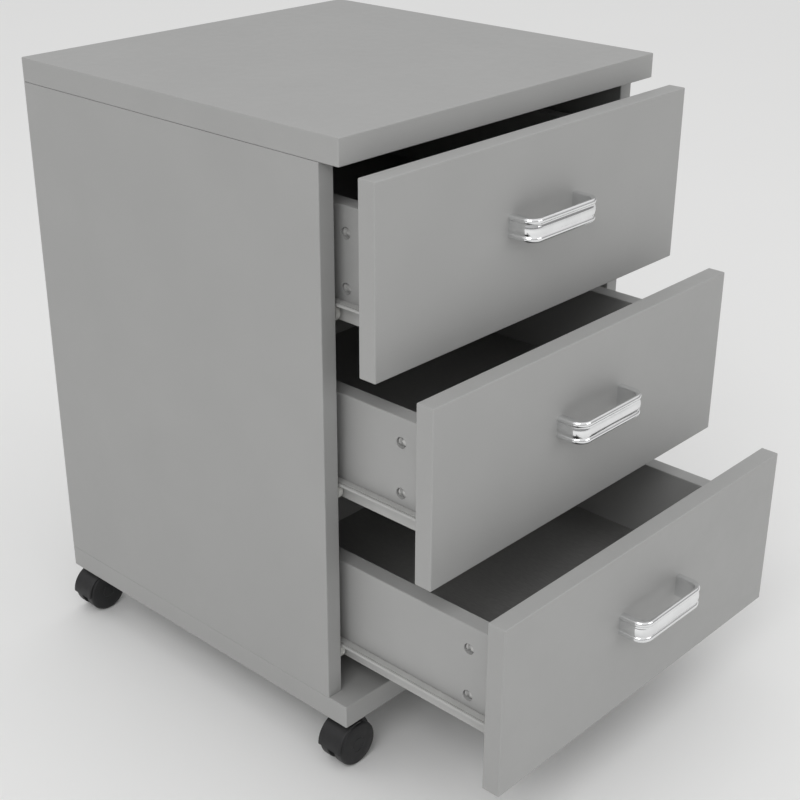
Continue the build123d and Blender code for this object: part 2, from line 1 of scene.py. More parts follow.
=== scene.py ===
"""Looks of a rolling pedestal cabinet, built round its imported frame.

Metres, in the model's own frame: +X to the right seen from the front, -Y towards the user, +Z up.
Boards and moulded hoods are the frame's own nodes in procedural finishes. Handles, runners, rollers,
wheels, cams and screws are built here, on the places that the frame gives for them.
"""

import logging
import math
from collections.abc import Iterable, Sequence
from dataclasses import dataclass
from enum import Enum

import bmesh
import bpy
from mathutils import Euler, Matrix, Vector


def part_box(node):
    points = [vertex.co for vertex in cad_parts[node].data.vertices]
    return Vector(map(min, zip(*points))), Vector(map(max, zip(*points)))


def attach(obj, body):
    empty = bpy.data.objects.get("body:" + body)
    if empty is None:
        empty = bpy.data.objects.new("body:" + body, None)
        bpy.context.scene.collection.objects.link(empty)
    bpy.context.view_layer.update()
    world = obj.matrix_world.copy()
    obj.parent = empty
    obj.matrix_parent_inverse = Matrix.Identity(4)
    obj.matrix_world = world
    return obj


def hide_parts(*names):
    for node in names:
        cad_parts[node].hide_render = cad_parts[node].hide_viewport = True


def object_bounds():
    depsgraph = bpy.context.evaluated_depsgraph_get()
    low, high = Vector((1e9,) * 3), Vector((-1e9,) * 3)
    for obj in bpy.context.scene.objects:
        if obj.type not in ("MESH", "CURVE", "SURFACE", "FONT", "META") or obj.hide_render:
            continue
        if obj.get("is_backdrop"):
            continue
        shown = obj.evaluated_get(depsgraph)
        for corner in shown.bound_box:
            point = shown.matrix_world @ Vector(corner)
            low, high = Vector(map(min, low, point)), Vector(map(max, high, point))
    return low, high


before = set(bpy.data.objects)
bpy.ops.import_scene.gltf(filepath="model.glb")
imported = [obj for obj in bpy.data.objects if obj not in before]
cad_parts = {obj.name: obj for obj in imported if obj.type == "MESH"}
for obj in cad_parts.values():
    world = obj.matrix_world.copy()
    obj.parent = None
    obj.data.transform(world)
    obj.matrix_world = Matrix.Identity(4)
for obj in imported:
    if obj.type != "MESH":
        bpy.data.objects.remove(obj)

MM = 0.001
LOG = logging.getLogger("pedestal")

Point = tuple[float, float]
Ring = list[Vector]
Socket = bpy.types.NodeSocket


class Direction(Enum):
    """An axis of the frame."""

    X = 0
    Y = 1
    Z = 2

    @property
    def across(self) -> tuple[int, int]:
        """Indices of the other two axes, in right-handed order."""
        return (self.value + 1) % 3, (self.value + 2) % 3

    def point(self, centre: Vector, along: float, first: float, second: float) -> Vector:
        """A point reached from a centre by a step along each axis.

        Args:
            centre: where the steps start.
            along: step along this axis.
            first: step along the first of the other two.
            second: step along the second of them.

        Returns:
            The point.
        """
        spot = centre.copy()
        spot[self.value] += along
        spot[self.across[0]] += first
        spot[self.across[1]] += second
        return spot


class Hand(Enum):
    """Which side of the cabinet a piece is on, as the sign of X."""

    LEFT = -1
    RIGHT = 1

    @classmethod
    def at(cls, x: float) -> "Hand":
        """The side that an X is on."""
        return cls.RIGHT if x > 0 else cls.LEFT


class DrawerPlace(Enum):
    """The drawers, by the name that begins their nodes."""

    TOP = "top_drawer"
    MIDDLE = "middle_drawer"
    BOTTOM = "bottom_drawer"


class CasterPlace(Enum):
    """The casters, by the name that begins their nodes."""

    FRONT_LEFT = "front_left_caster"
    FRONT_RIGHT = "front_right_caster"
    REAR_LEFT = "rear_left_caster"
    REAR_RIGHT = "rear_right_caster"


# ----------------------------------------
# Finishes
# ----------------------------------------


MADE_FINISHES: dict[str, bpy.types.Material] = {}

# A Mix node's sockets for colours, which share their names with those for its other types.
MIX_FIRST = 6
MIX_SECOND = 7
MIX_RESULT = 2

# The range that most of a noise lies in.
NOISE_LOW = 0.3
NOISE_HIGH = 0.7

# Cosines of the turn from the true to the rounded normal, where an edge starts and where it is full.
EDGE_STARTS = 0.995
EDGE_FULL = 0.86
EDGE_SAMPLES = 4


class NodeSheet:
    """The nodes of one material, with a short call for each kind that the finishes use."""

    def __init__(self, name: str) -> None:
        """Start a material with a shader, a surface output and coordinates that stay on the piece.

        Args:
            name: the material's name.
        """
        self.material = bpy.data.materials.new(name)
        self.material.use_nodes = True
        self.tree = self.material.node_tree
        self.tree.nodes.clear()
        self.output = self.tree.nodes.new("ShaderNodeOutputMaterial")
        self.shader = self.tree.nodes.new("ShaderNodeBsdfPrincipled")
        self.tree.links.new(self.shader.outputs["BSDF"], self.output.inputs["Surface"])
        self.place = self.tree.nodes.new("ShaderNodeTexCoord").outputs["Object"]

    def join(self, source: Socket, target: Socket) -> None:
        """Link one socket to another."""
        self.tree.links.new(source, target)

    def feed(self, name: str, value: Socket) -> None:
        """Link a value to one of the shader's own sockets."""
        self.join(value, self.shader.inputs[name])

    def settle(self, **values: float | Sequence[float]) -> None:
        """Set plain values on the shader's own sockets.

        Args:
            values: socket names, with underscores for spaces, and their values.
        """
        for name, value in values.items():
            self.shader.inputs[name.replace("_", " ")].default_value = value

    def stretched(self, scale: Sequence[float]) -> Socket:
        """Coordinates scaled by axis, for grain and brushing.

        Args:
            scale: factor along each axis.

        Returns:
            The scaled coordinates.
        """
        node = self.tree.nodes.new("ShaderNodeMapping")
        node.inputs["Scale"].default_value = scale
        self.join(self.place, node.inputs["Vector"])
        return node.outputs["Vector"]

    def noise(self, pitch: float, detail: float = 2.0, vector: Socket | None = None) -> Socket:
        """A noise of the given pitch.

        Args:
            pitch: size of its spots, in metres.
            detail: number of finer layers.
            vector: coordinates, or the piece's own.

        Returns:
            A value about 0.5.
        """
        node = self.tree.nodes.new("ShaderNodeTexNoise")
        node.inputs["Scale"].default_value = 1.0 / pitch
        node.inputs["Detail"].default_value = detail
        self.join(vector or self.place, node.inputs["Vector"])
        return node.outputs["Fac"]

    def cells(self, pitch: float) -> Socket:
        """A pattern of cells of the given pitch, for crystals and speckle.

        Args:
            pitch: size of a cell, in metres.

        Returns:
            One random value for each cell.
        """
        node = self.tree.nodes.new("ShaderNodeTexVoronoi")
        node.inputs["Scale"].default_value = 1.0 / pitch
        self.join(self.place, node.inputs["Vector"])
        split = self.tree.nodes.new("ShaderNodeSeparateColor")
        self.join(node.outputs["Color"], split.inputs["Color"])
        return split.outputs["Red"]

    def spread(self, value: Socket, low: float, high: float, to_low: float, to_high: float) -> Socket:
        """Map a range of a value to another range, and hold it there.

        Args:
            value: what to map.
            low: where the range starts.
            high: where the range ends.
            to_low: result at its start.
            to_high: result at its end.

        Returns:
            The mapped value.
        """
        node = self.tree.nodes.new("ShaderNodeMapRange")
        ends = {"From Min": low, "From Max": high, "To Min": to_low, "To Max": to_high}
        for name, number in ends.items():
            node.inputs[name].default_value = number
        self.join(value, node.inputs["Value"])
        return node.outputs["Result"]

    def sum(self, kind: str, first: Socket, second: Socket | float) -> Socket:
        """A piece of arithmetic on two values.

        Args:
            kind: Blender's name of the operation.
            first: the first value.
            second: the second value, or a number.

        Returns:
            The result.
        """
        node = self.tree.nodes.new("ShaderNodeMath")
        node.operation = kind
        self.join(first, node.inputs[0])
        if isinstance(second, Socket):
            self.join(second, node.inputs[1])
        else:
            node.inputs[1].default_value = second
        return node.outputs["Value"]

    def blend(self, amount: Socket, first: Sequence[float] | Socket, second: Sequence[float]) -> Socket:
        """Mix two colours.

        Args:
            amount: 0 for the first, 1 for the second.
            first: a colour, or a socket that gives one.
            second: a colour.

        Returns:
            The mixed colour.
        """
        node = self.tree.nodes.new("ShaderNodeMix")
        node.data_type = "RGBA"
        self.join(amount, node.inputs["Factor"])
        if isinstance(first, Socket):
            self.join(first, node.inputs[MIX_FIRST])
        else:
            node.inputs[MIX_FIRST].default_value = (*first, 1.0)
        node.inputs[MIX_SECOND].default_value = (*second, 1.0)
        return node.outputs[MIX_RESULT]

    def tint(
        self,
        value: Socket,
        low: float,
        high: float,
        share: float,
        first: Sequence[float] | Socket,
        second: Sequence[float],
    ) -> Socket:
        """Pass from one colour to another as a value crosses a range.

        Args:
            value: what decides.
            low: where the second colour starts to show.
            high: where it shows most.
            share: how much of it shows there.
            first: a colour, or a socket that gives one.
            second: a colour.

        Returns:
            The mixed colour.
        """
        return self.blend(self.spread(value, low, high, 0.0, share), first, second)

    def edges(self, radius: float) -> Socket:
        """Where the surface is within a radius of an edge, inner or outer.

        Args:
            radius: reach of the mask, in metres.

        Returns:
            0 on flat ground, rising to 1 on an edge.
        """
        soft = self.tree.nodes.new("ShaderNodeBevel")
        soft.samples = EDGE_SAMPLES
        soft.inputs["Radius"].default_value = radius
        flat = self.tree.nodes.new("ShaderNodeNewGeometry")
        dot = self.tree.nodes.new("ShaderNodeVectorMath")
        dot.operation = "DOT_PRODUCT"
        self.join(soft.outputs["Normal"], dot.inputs[0])
        self.join(flat.outputs["Normal"], dot.inputs[1])
        return self.spread(dot.outputs["Value"], EDGE_STARTS, EDGE_FULL, 0.0, 1.0)

    def relief(self, height: Socket, depth: float, strength: float = 1.0) -> None:
        """Raise the surface by a height, on top of what is already raised.

        Args:
            height: from 0 to 1.
            depth: metres that a height of 1 stands for.
            strength: share of the effect.
        """
        node = self.tree.nodes.new("ShaderNodeBump")
        node.inputs["Strength"].default_value = strength
        node.inputs["Distance"].default_value = depth
        self.join(height, node.inputs["Height"])
        before = self.shader.inputs["Normal"]
        if before.is_linked:
            self.join(before.links[0].from_socket, node.inputs["Normal"])
        self.join(node.outputs["Normal"], before)


@dataclass(frozen=True)
class Finish:
    """What every finish has: a name, the record's slot, a colour and a roughness."""

    name: str
    slot: str
    colour: tuple[float, float, float]
    roughness: float

    def dress(self, sheet: NodeSheet) -> None:
        """Lay the finish's nodes. Each kind of finish has its own."""
        raise NotImplementedError

    def shade(self, factor: float) -> tuple[float, float, float]:
        """The finish's colour, lighter or darker by a factor."""
        red, green, blue = self.colour
        return red * factor, green * factor, blue * factor

    def uneven(self, sheet: NodeSheet, value: Socket, below: float, above: float) -> Socket:
        """A roughness that varies with a noise, about the finish's own.

        Args:
            sheet: the material's nodes.
            value: the noise.
            below: how much smoother it gets.
            above: how much rougher it gets.

        Returns:
            The roughness.
        """
        return sheet.spread(value, NOISE_LOW, NOISE_HIGH, self.roughness - below, self.roughness + above)

    def material(self) -> bpy.types.Material:
        """The finish as a material, made once.

        Returns:
            The material.
        """
        if self.name not in MADE_FINISHES:
            sheet = NodeSheet(self.name)
            self.dress(sheet)
            MADE_FINISHES[self.name] = sheet.material
        return MADE_FINISHES[self.name]


@dataclass(frozen=True)
class Melamine(Finish):
    """Printed paper under melamine resin: smooth, matt, with a fine stipple and faint cloudiness."""

    cloud: float = 0.075
    mottle: float = 0.011
    stipple: float = 0.0009
    # Reach of the painted edge highlight, which is mixed with patchy wear.
    edge_mark_reach: float = 0.0011
    # Reach of the painted shade line along the edges.
    joint: float = 0.0005
    rub: float = 0.014

    def dress(self, sheet: NodeSheet) -> None:
        """Cloudy colour, stippled relief, edges paled by a painted highlight with patchy wear, and a
        painted shade line along every edge for the shadow in the joints.
        """
        cloud = sheet.noise(self.cloud, 3.0)
        mottle = sheet.noise(self.mottle, 4.0)
        stipple = sheet.noise(self.stipple, 2.0)
        both = sheet.sum("MULTIPLY_ADD", mottle, 0.4)
        sheet.join(cloud, both.node.inputs[2])
        tone = sheet.tint(both, 0.45, 0.95, 1.0, self.shade(0.975), self.shade(1.02))
        grain = sheet.tint(stipple, 0.60, 0.72, 0.35, tone, self.shade(0.90))
        # Painted highlight mixed with patchy wear: the colour is paled along the eased edges.
        edge = sheet.edges(self.edge_mark_reach)
        rubs = sheet.spread(sheet.noise(self.rub, 5.0), 0.30, 0.62, 0.25, 1.0)
        edge_marked = sheet.sum("MULTIPLY", edge, rubs)
        pale_edged = sheet.blend(sheet.sum("MULTIPLY", edge_marked, 0.45), grain, self.shade(1.16))
        # Painted shade: the colour darkens within this reach of every edge, for the shadow in the joints.
        line = sheet.sum("MULTIPLY", sheet.edges(self.joint), 0.65)
        sheet.feed("Base Color", sheet.blend(line, pale_edged, self.shade(0.42)))
        rough = self.uneven(sheet, mottle, 0.05, 0.06)
        sheet.feed("Roughness", sheet.sum("SUBTRACT", rough, sheet.sum("MULTIPLY", edge_marked, 0.12)))
        sheet.relief(stipple, 0.00003, 0.55)
        sheet.relief(mottle, 0.00008, 0.25)


@dataclass(frozen=True)
class Hardboard(Finish):
    """Lacquered fibreboard: fibres that show faintly through the coat."""

    fibre: float = 0.0014
    patch: float = 0.05

    def dress(self, sheet: NodeSheet) -> None:
        """Long fibres in the colour and in the relief, under a thin lacquer."""
        fibres = sheet.noise(self.fibre, 4.0, sheet.stretched((1.0, 0.22, 1.0)))
        patches = sheet.noise(self.patch, 3.0)
        tone = sheet.tint(fibres, 0.35, 0.68, 1.0, self.shade(0.88), self.shade(1.06))
        stained = sheet.tint(patches, 0.5, 0.8, 0.4, tone, self.shade(0.84))
        sheet.feed("Base Color", stained)
        sheet.feed("Roughness", self.uneven(sheet, fibres, 0.06, 0.08))
        sheet.relief(fibres, 0.00006, 0.6)


@dataclass(frozen=True)
class Plate(Finish):
    """Bright plating: a near mirror with hairline scratches, a slight swim and finger-dulled patches."""

    swim: float = 0.009
    hairline: float = 0.0004
    smudge: float = 0.016

    def dress(self, sheet: NodeSheet) -> None:
        """Mirror metal whose gloss varies with handling."""
        smudge = sheet.noise(self.smudge, 5.0)
        scratch = sheet.noise(self.hairline, 3.0, sheet.stretched((0.035, 1.0, 1.0)))
        tone = sheet.tint(smudge, 0.40, 0.75, 1.0, self.colour, self.shade(0.93))
        sheet.feed("Base Color", tone)
        dull = sheet.spread(smudge, 0.42, 0.80, self.roughness, self.roughness + 0.10)
        lines = sheet.spread(scratch, 0.60, 0.74, 0.0, 0.07)
        sheet.feed("Roughness", sheet.sum("ADD", dull, lines))
        sheet.settle(Metallic=1.0)
        sheet.relief(sheet.noise(self.swim, 1.0), 0.00005, 0.20)
        sheet.relief(scratch, 0.000004, 0.5)


@dataclass(frozen=True)
class Enamel(Finish):
    """Baked enamel on folded steel: a little orange peel, and bright rubs where rollers and edges touch."""

    peel: float = 0.0011
    tide: float = 0.03
    chip: float = 0.004
    edge_mark_reach: float = 0.0006
    bare: tuple[float, float, float] = (0.58, 0.57, 0.55)

    def dress(self, sheet: NodeSheet) -> None:
        """Enamel with worn edges that let the steel through."""
        peel = sheet.noise(self.peel, 2.0)
        tide = sheet.noise(self.tide, 4.0)
        tone = sheet.tint(tide, 0.35, 0.7, 1.0, self.shade(0.95), self.shade(1.04))
        edge = sheet.edges(self.edge_mark_reach)
        flakes = sheet.spread(sheet.noise(self.chip, 5.0), 0.50, 0.60, 0.0, 1.0)
        chips = sheet.sum("MULTIPLY", edge, flakes)
        sheet.feed("Base Color", sheet.blend(chips, tone, self.bare))
        sheet.feed("Metallic", sheet.sum("MULTIPLY", chips, 0.9))
        sheet.feed("Roughness", self.uneven(sheet, tide, 0.04, 0.08))
        sheet.relief(peel, 0.00004, 0.5)


@dataclass(frozen=True)
class Zinc(Finish):
    """Zinc on steel or a zinc casting: grey spangle, soft gloss and darker tarnish patches."""

    spangle: float = 0.0011
    metal: float = 1.0
    tarnish: float = 0.005
    skin: float = 0.0007

    def dress(self, sheet: NodeSheet) -> None:
        """Spangled metal with uneven gloss."""
        crystal = sheet.cells(self.spangle)
        tarnish = sheet.noise(self.tarnish, 4.0)
        tone = sheet.tint(crystal, 0.0, 1.0, 1.0, self.shade(0.86), self.shade(1.06))
        dirty = sheet.tint(tarnish, 0.50, 0.80, 0.5, tone, self.shade(0.55))
        sheet.feed("Base Color", dirty)
        rough = sheet.spread(crystal, 0.0, 1.0, self.roughness - 0.08, self.roughness + 0.10)
        sheet.feed("Roughness", rough)
        sheet.settle(Metallic=self.metal)
        sheet.relief(sheet.noise(self.skin, 3.0), 0.00003, 0.4)


@dataclass(frozen=True)
class DrawnSteel(Finish):
    """Bright drawn bar: fine lines along its length and a trace of oil."""

    line: float = 0.0005
    oil: float = 0.006

    def dress(self, sheet: NodeSheet) -> None:
        """Lengthwise lines in colour, gloss and relief."""
        lines = sheet.noise(self.line, 3.0, sheet.stretched((1.0, 0.06, 1.0)))
        oil = sheet.noise(self.oil, 3.0)
        tone = sheet.tint(oil, 0.45, 0.75, 1.0, self.colour, self.shade(0.72))
        sheet.feed("Base Color", tone)
        sheet.feed("Roughness", self.uneven(sheet, lines, 0.0, 0.14))
        sheet.settle(Metallic=1.0)
        sheet.relief(lines, 0.00001, 0.5)


@dataclass(frozen=True)
class Moulded(Finish):
    """Moulded nylon: a spark-eroded grain, paler scuffs on its edges and dust in the grain."""

    grain: float = 0.00055
    scuff: float = 2.6
    dust: tuple[float, float, float] = (0.20, 0.19, 0.18)
    dust_share: float = 0.06
    dust_patch: float = 0.02
    wear: float = 0.007
    edge_mark_reach: float = 0.0008

    def dress(self, sheet: NodeSheet) -> None:
        """Grained plastic with scuffed edges and a little dust."""
        grain = sheet.noise(self.grain, 3.0)
        wear = sheet.noise(self.wear, 5.0)
        edge = sheet.edges(self.edge_mark_reach)
        scuffed = sheet.sum("MULTIPLY", edge, sheet.spread(wear, 0.38, 0.62, 0.15, 1.0))
        tone = sheet.tint(grain, 0.35, 0.7, 1.0, self.shade(0.85), self.shade(1.15))
        edge_marked = sheet.blend(sheet.sum("MULTIPLY", scuffed, 0.6), tone, self.shade(self.scuff))
        settled = sheet.spread(sheet.noise(self.dust_patch, 4.0), 0.48, 0.74, 0.0, self.dust_share)
        sheet.feed("Base Color", sheet.blend(settled, edge_marked, self.dust))
        sheet.feed("Roughness", self.uneven(sheet, wear, 0.06, 0.09))
        sheet.relief(grain, 0.00005, 0.6)


@dataclass(frozen=True)
class Beech(Finish):
    """Turned beech: long pores and short dark flecks."""

    grain: float = 0.0012
    fleck: float = 0.0009

    def dress(self, sheet: NodeSheet) -> None:
        """Grain along Z with flecks across it."""
        grain = sheet.noise(self.grain, 5.0, sheet.stretched((1.0, 1.0, 0.08)))
        fleck = sheet.noise(self.fleck, 2.0, sheet.stretched((1.0, 1.0, 0.35)))
        tone = sheet.tint(grain, 0.3, 0.7, 1.0, self.shade(0.80), self.shade(1.08))
        sheet.feed("Base Color", sheet.tint(fleck, 0.62, 0.70, 0.5, tone, self.shade(0.5)))
        sheet.feed("Roughness", self.uneven(sheet, grain, 0.0, 0.12))
        sheet.relief(grain, 0.00006, 0.5)


GREY_BOARD = Melamine("grey_board", "grey_melamine", (0.365, 0.365, 0.360), 0.47)
# The drawer boxes are the carcass's grey; their colour here is a little lighter, as painted light on the
# box boards.
BOX_BOARD = Melamine("drawer_box_board", "box_melamine", (0.388, 0.388, 0.383), 0.50, cloud=0.05)
# The drawer bottoms' colour is darker than the box boards, partly as painted shade inside the drawers.
BOTTOM_BOARD = Hardboard("lacquered_hardboard", "bottom_board", (0.25, 0.248, 0.243), 0.52)
CHROME = Plate("polished_plate", "polished_handle", (0.86, 0.865, 0.87), 0.055)
RUNNER_ENAMEL = Enamel("baked_enamel", "runner_enamel", (0.45, 0.45, 0.44), 0.34)
ROLLER_NYLON = Moulded("roller_nylon", "white_nylon", (0.70, 0.70, 0.67), 0.42, scuff=0.8, dust_share=0.35)
CAST_ZINC = Zinc("cast_zinc", "zinc_fitting", (0.56, 0.56, 0.55), 0.46, metal=0.12)
SCREW_ZINC = Zinc("screw_zinc", "screw_steel", (0.56, 0.56, 0.55), 0.34, spangle=0.0007)
DOWEL_BEECH = Beech("dowel_beech", "beech", (0.55, 0.37, 0.20), 0.60)
HOOD_NYLON = Moulded("hood_nylon", "hood_plastic", (0.010, 0.010, 0.011), 0.46, dust_share=0.045)
WHEEL_NYLON = Moulded(
    "wheel_nylon", "wheel_plastic", (0.008, 0.008, 0.009), 0.44, scuff=2.8, dust_share=0.045
)
AXLE_STEEL = DrawnSteel("drawn_steel", "axle_steel", (0.58, 0.58, 0.57), 0.26)
SOCKET_NYLON = Moulded("socket_nylon", "socket_plastic", (0.055, 0.055, 0.055), 0.50)


# ----------------------------------------
# Meshes
# ----------------------------------------


SAME_POINT = 1e-7
NO_LENGTH = 1e-8
END_REACH = 0.05 * MM


class Shell:
    """Points and faces of one piece, gathered before they become a mesh."""

    SMOOTH_BELOW = math.radians(34.0)

    def __init__(self) -> None:
        """Start with nothing."""
        self.points: list[Vector] = []
        self.faces: list[tuple[int, ...]] = []

    def sew(self, rings: Sequence[Ring], closed: bool) -> None:
        """Join rings of equally many points, one to the next.

        Args:
            rings: the rings in order, each a closed outline.
            closed: whether the last ring joins the first. If not, both ends are capped.
        """
        count = len(rings[0])
        for ring in rings:
            self.points.extend(ring)
        last = len(rings) - 1
        for step in range(last + closed):
            here = step * count
            there = (step + 1) % len(rings) * count
            for k in range(count):
                turn = (k + 1) % count
                self.faces.append((here + k, here + turn, there + turn, there + k))
        if not closed:
            self.faces.append(tuple(range(count)))
            self.faces.append(tuple(range(last * count, len(rings) * count)))

    @classmethod
    def lofted(cls, name: str, rings: Sequence[Ring]) -> bpy.types.Mesh:
        """A mesh through rings of equally many points, capped at both ends."""
        shell = cls()
        shell.sew(rings, closed=False)
        return shell.mesh(name)

    @classmethod
    def turned(
        cls,
        name: str,
        profile: Sequence[Point],
        centre: Vector,
        direction: Direction,
        sign: int,
        turns: int = 56,
    ) -> bpy.types.Mesh:
        """A profile turned round an axis. A first or last point on the axis closes the mesh there.

        Args:
            name: the mesh's name.
            profile: (radius, distance along the axis) points.
            centre: where distance is 0.
            direction: the axis.
            sign: 1 or -1, the way that distance is measured.
            turns: number of sides.

        Returns:
            The mesh.
        """
        rings = []
        for step in range(turns):
            angle = 2 * math.pi * step / turns
            cos, sin = math.cos(angle), math.sin(angle)
            rings.append([direction.point(centre, sign * d, r * cos, r * sin) for r, d in profile])
        shell = cls()
        shell.sew(rings, closed=True)
        return shell.mesh(name)

    def mesh(self, name: str) -> bpy.types.Mesh:
        """The shell as a clean mesh: doubled points merged, flat slivers dropped, faces turned outwards.

        Args:
            name: the mesh's name.

        Returns:
            The mesh, smooth but for its sharp edges.
        """
        work = bmesh.new()
        corners = [work.verts.new(p) for p in self.points]
        for face in self.faces:
            work.faces.new([corners[i] for i in face])
        bmesh.ops.remove_doubles(work, verts=work.verts, dist=SAME_POINT)
        bmesh.ops.dissolve_degenerate(work, edges=work.edges, dist=NO_LENGTH)
        bmesh.ops.recalc_face_normals(work, faces=work.faces)
        mesh = bpy.data.meshes.new(name)
        work.to_mesh(mesh)
        work.free()
        soften(mesh)
        return mesh


def soften(mesh: bpy.types.Mesh) -> None:
    """Smooth a mesh's shading, and keep its sharp edges sharp."""
    mesh.polygons.foreach_set("use_smooth", [True] * len(mesh.polygons))
    mesh.set_sharp_from_angle(angle=Shell.SMOOTH_BELOW)


def carved(mesh: bpy.types.Mesh, cutters: Iterable[bpy.types.Mesh]) -> bpy.types.Mesh:
    """Take other meshes away from a mesh.

    Args:
        mesh: what is cut.
        cutters: what cuts it.

    Returns:
        The mesh that is left.
    """
    collection = bpy.context.scene.collection
    body = bpy.data.objects.new("carving", mesh)
    collection.objects.link(body)
    tools = []
    for cutter in cutters:
        tool = bpy.data.objects.new("cutter", cutter)
        collection.objects.link(tool)
        tools.append(tool)
        step = body.modifiers.new("cut", "BOOLEAN")
        step.operation = "DIFFERENCE"
        step.solver = "EXACT"
        step.object = tool
    bpy.context.view_layer.update()
    seen = body.evaluated_get(bpy.context.evaluated_depsgraph_get())
    left = bpy.data.meshes.new_from_object(seen)
    for leftover in (body, *tools):
        bpy.data.objects.remove(leftover)
    soften(left)
    return left


def box_mesh(x: Sequence[float], y: Sequence[float], z: Sequence[float]) -> bpy.types.Mesh:
    """A plain box between two values on each axis, for cutting with."""
    ring = [(x[0], y[0]), (x[1], y[0]), (x[1], y[1]), (x[0], y[1])]
    return Shell.lofted("box", [[Vector((*spot, level)) for spot in ring] for level in z])


def merged(name: str, meshes: Sequence[bpy.types.Mesh]) -> bpy.types.Mesh:
    """Several meshes as one.

    Args:
        name: the new mesh's name.
        meshes: what goes into it.

    Returns:
        The new mesh.
    """
    work = bmesh.new()
    for mesh in meshes:
        work.from_mesh(mesh)
    whole = bpy.data.meshes.new(name)
    work.to_mesh(whole)
    work.free()
    soften(whole)
    return whole


def arc(centre: Point, radius: float, start: float, end: float, steps: int) -> list[Point]:
    """Points on a round stretch of an outline.

    Args:
        centre: its centre.
        radius: its radius.
        start: first angle, in degrees.
        end: last angle, in degrees.
        steps: number of chords.

    Returns:
        The points, both ends among them.
    """
    points = []
    for step in range(steps + 1):
        angle = math.radians(start + (end - start) * step / steps)
        points.append((centre[0] + radius * math.cos(angle), centre[1] + radius * math.sin(angle)))
    return points


def folded(path: Sequence[Point], thickness: float, bend: float, steps: int = 5) -> list[Point]:
    """Outline of a strip of sheet folded along a path.

    Args:
        path: corners of the sheet's middle line.
        thickness: the sheet's.
        bend: radius of the middle line in a fold.
        steps: chords in a fold.

    Returns:
        The closed outline of the section.
    """
    line: list[tuple[Vector, Vector]] = []
    corners = [Vector(p) for p in path]
    for k, corner in enumerate(corners):
        if k in (0, len(corners) - 1):
            run = (corners[1] - corners[0]) if k == 0 else (corners[-1] - corners[-2])
            line.append((corner, run.normalized()))
            continue
        before = (corner - corners[k - 1]).normalized()
        after = (corners[k + 1] - corner).normalized()
        turn = before.angle_signed(after)
        reach = bend * math.tan(abs(turn) / 2)
        for step in range(steps + 1):
            share = step / steps
            heading = before.copy()
            heading.rotate(Matrix.Rotation(-turn * share, 2))
            side = 1.0 if turn < 0 else -1.0
            centre = corner - before * reach + side * bend * Vector((-before.y, before.x))
            spot = centre - side * bend * Vector((-heading.y, heading.x))
            line.append((spot, heading))
    half = thickness / 2
    left = [p + half * Vector((-d.y, d.x)) for p, d in line]
    right = [p - half * Vector((-d.y, d.x)) for p, d in line]
    return [tuple(p) for p in left + right[::-1]]


@dataclass(frozen=True)
class Solid:
    """One separate solid of a node: its box, and its widest reach from its own axis at either end."""

    low: Vector
    high: Vector
    long_axis: Direction
    radius_low: float
    radius_high: float

    @property
    def middle(self) -> Vector:
        """Centre of its box."""
        return (self.low + self.high) / 2

    @property
    def size(self) -> Vector:
        """Size of its box."""
        return self.high - self.low

    def end(self, direction: Direction, sign: int) -> Vector:
        """Middle of one of its box's faces.

        Args:
            direction: the axis that the face looks along.
            sign: 1 for the higher face, -1 for the lower.

        Returns:
            The point.
        """
        spot = self.middle
        spot[direction.value] = (self.high if sign > 0 else self.low)[direction.value]
        return spot


def solids_of(node: str) -> list[Solid]:
    """The separate solids of a node, read from the frame.

    Args:
        node: the node's name.

    Returns:
        One entry for each solid, by the place of its box.
    """
    work = bmesh.new()
    work.from_mesh(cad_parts[node].data)
    bmesh.ops.remove_doubles(work, verts=work.verts, dist=SAME_POINT)
    left = set(work.verts)
    found = []
    while left:
        patch = [left.pop()]
        island = []
        while patch:
            vert = patch.pop()
            island.append(vert.co.copy())
            for edge in vert.link_edges:
                other = edge.other_vert(vert)
                if other in left:
                    left.remove(other)
                    patch.append(other)
        found.append(measured(island))
    work.free()
    return sorted(found, key=lambda s: tuple(round(v, 5) for v in s.middle))


def measured(points: Sequence[Vector]) -> Solid:
    """Box and end radii of a cloud of points.

    Args:
        points: the points of one solid.

    Returns:
        Its measures.
    """
    low = Vector(min(p[k] for p in points) for k in range(3))
    high = Vector(max(p[k] for p in points) for k in range(3))
    size = high - low
    axis = Direction(max(range(3), key=lambda k: size[k]))
    first, second = axis.across
    middle = (low + high) / 2
    reach = {}
    for end, level in (("low", low[axis.value]), ("high", high[axis.value])):
        near = [p for p in points if abs(p[axis.value] - level) < END_REACH]
        reach[end] = max(math.hypot(p[first] - middle[first], p[second] - middle[second]) for p in near)
    return Solid(low, high, axis, reach["low"], reach["high"])


# ----------------------------------------
# Sub-assemblies
# ----------------------------------------


@dataclass
class Assembly:
    """What every sub-assembly does: dress the frame's nodes, and put its own pieces on a body."""

    body: str

    def keep(self, node: str, finish: Finish) -> None:
        """Show a node of the frame in a finish.

        Args:
            node: the node's name.
            finish: what it is finished in.
        """
        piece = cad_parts[node]
        piece.data.materials.clear()
        piece.data.materials.append(finish.material())
        LOG.info("kept %s in %s", node, finish.name)

    def fit(self, name: str, mesh: bpy.types.Mesh, finish: Finish, node: str) -> None:
        """Put a new piece in the place of a node.

        Args:
            name: the piece's name.
            mesh: its mesh.
            finish: what it is finished in.
            node: the node that it stands for.
        """
        piece = bpy.data.objects.new(name, mesh)
        bpy.context.scene.collection.objects.link(piece)
        mesh.materials.clear()
        mesh.materials.append(finish.material())
        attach(piece, self.body)
        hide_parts(node)
        LOG.info("made %s in %s, %d faces", name, finish.name, len(mesh.polygons))


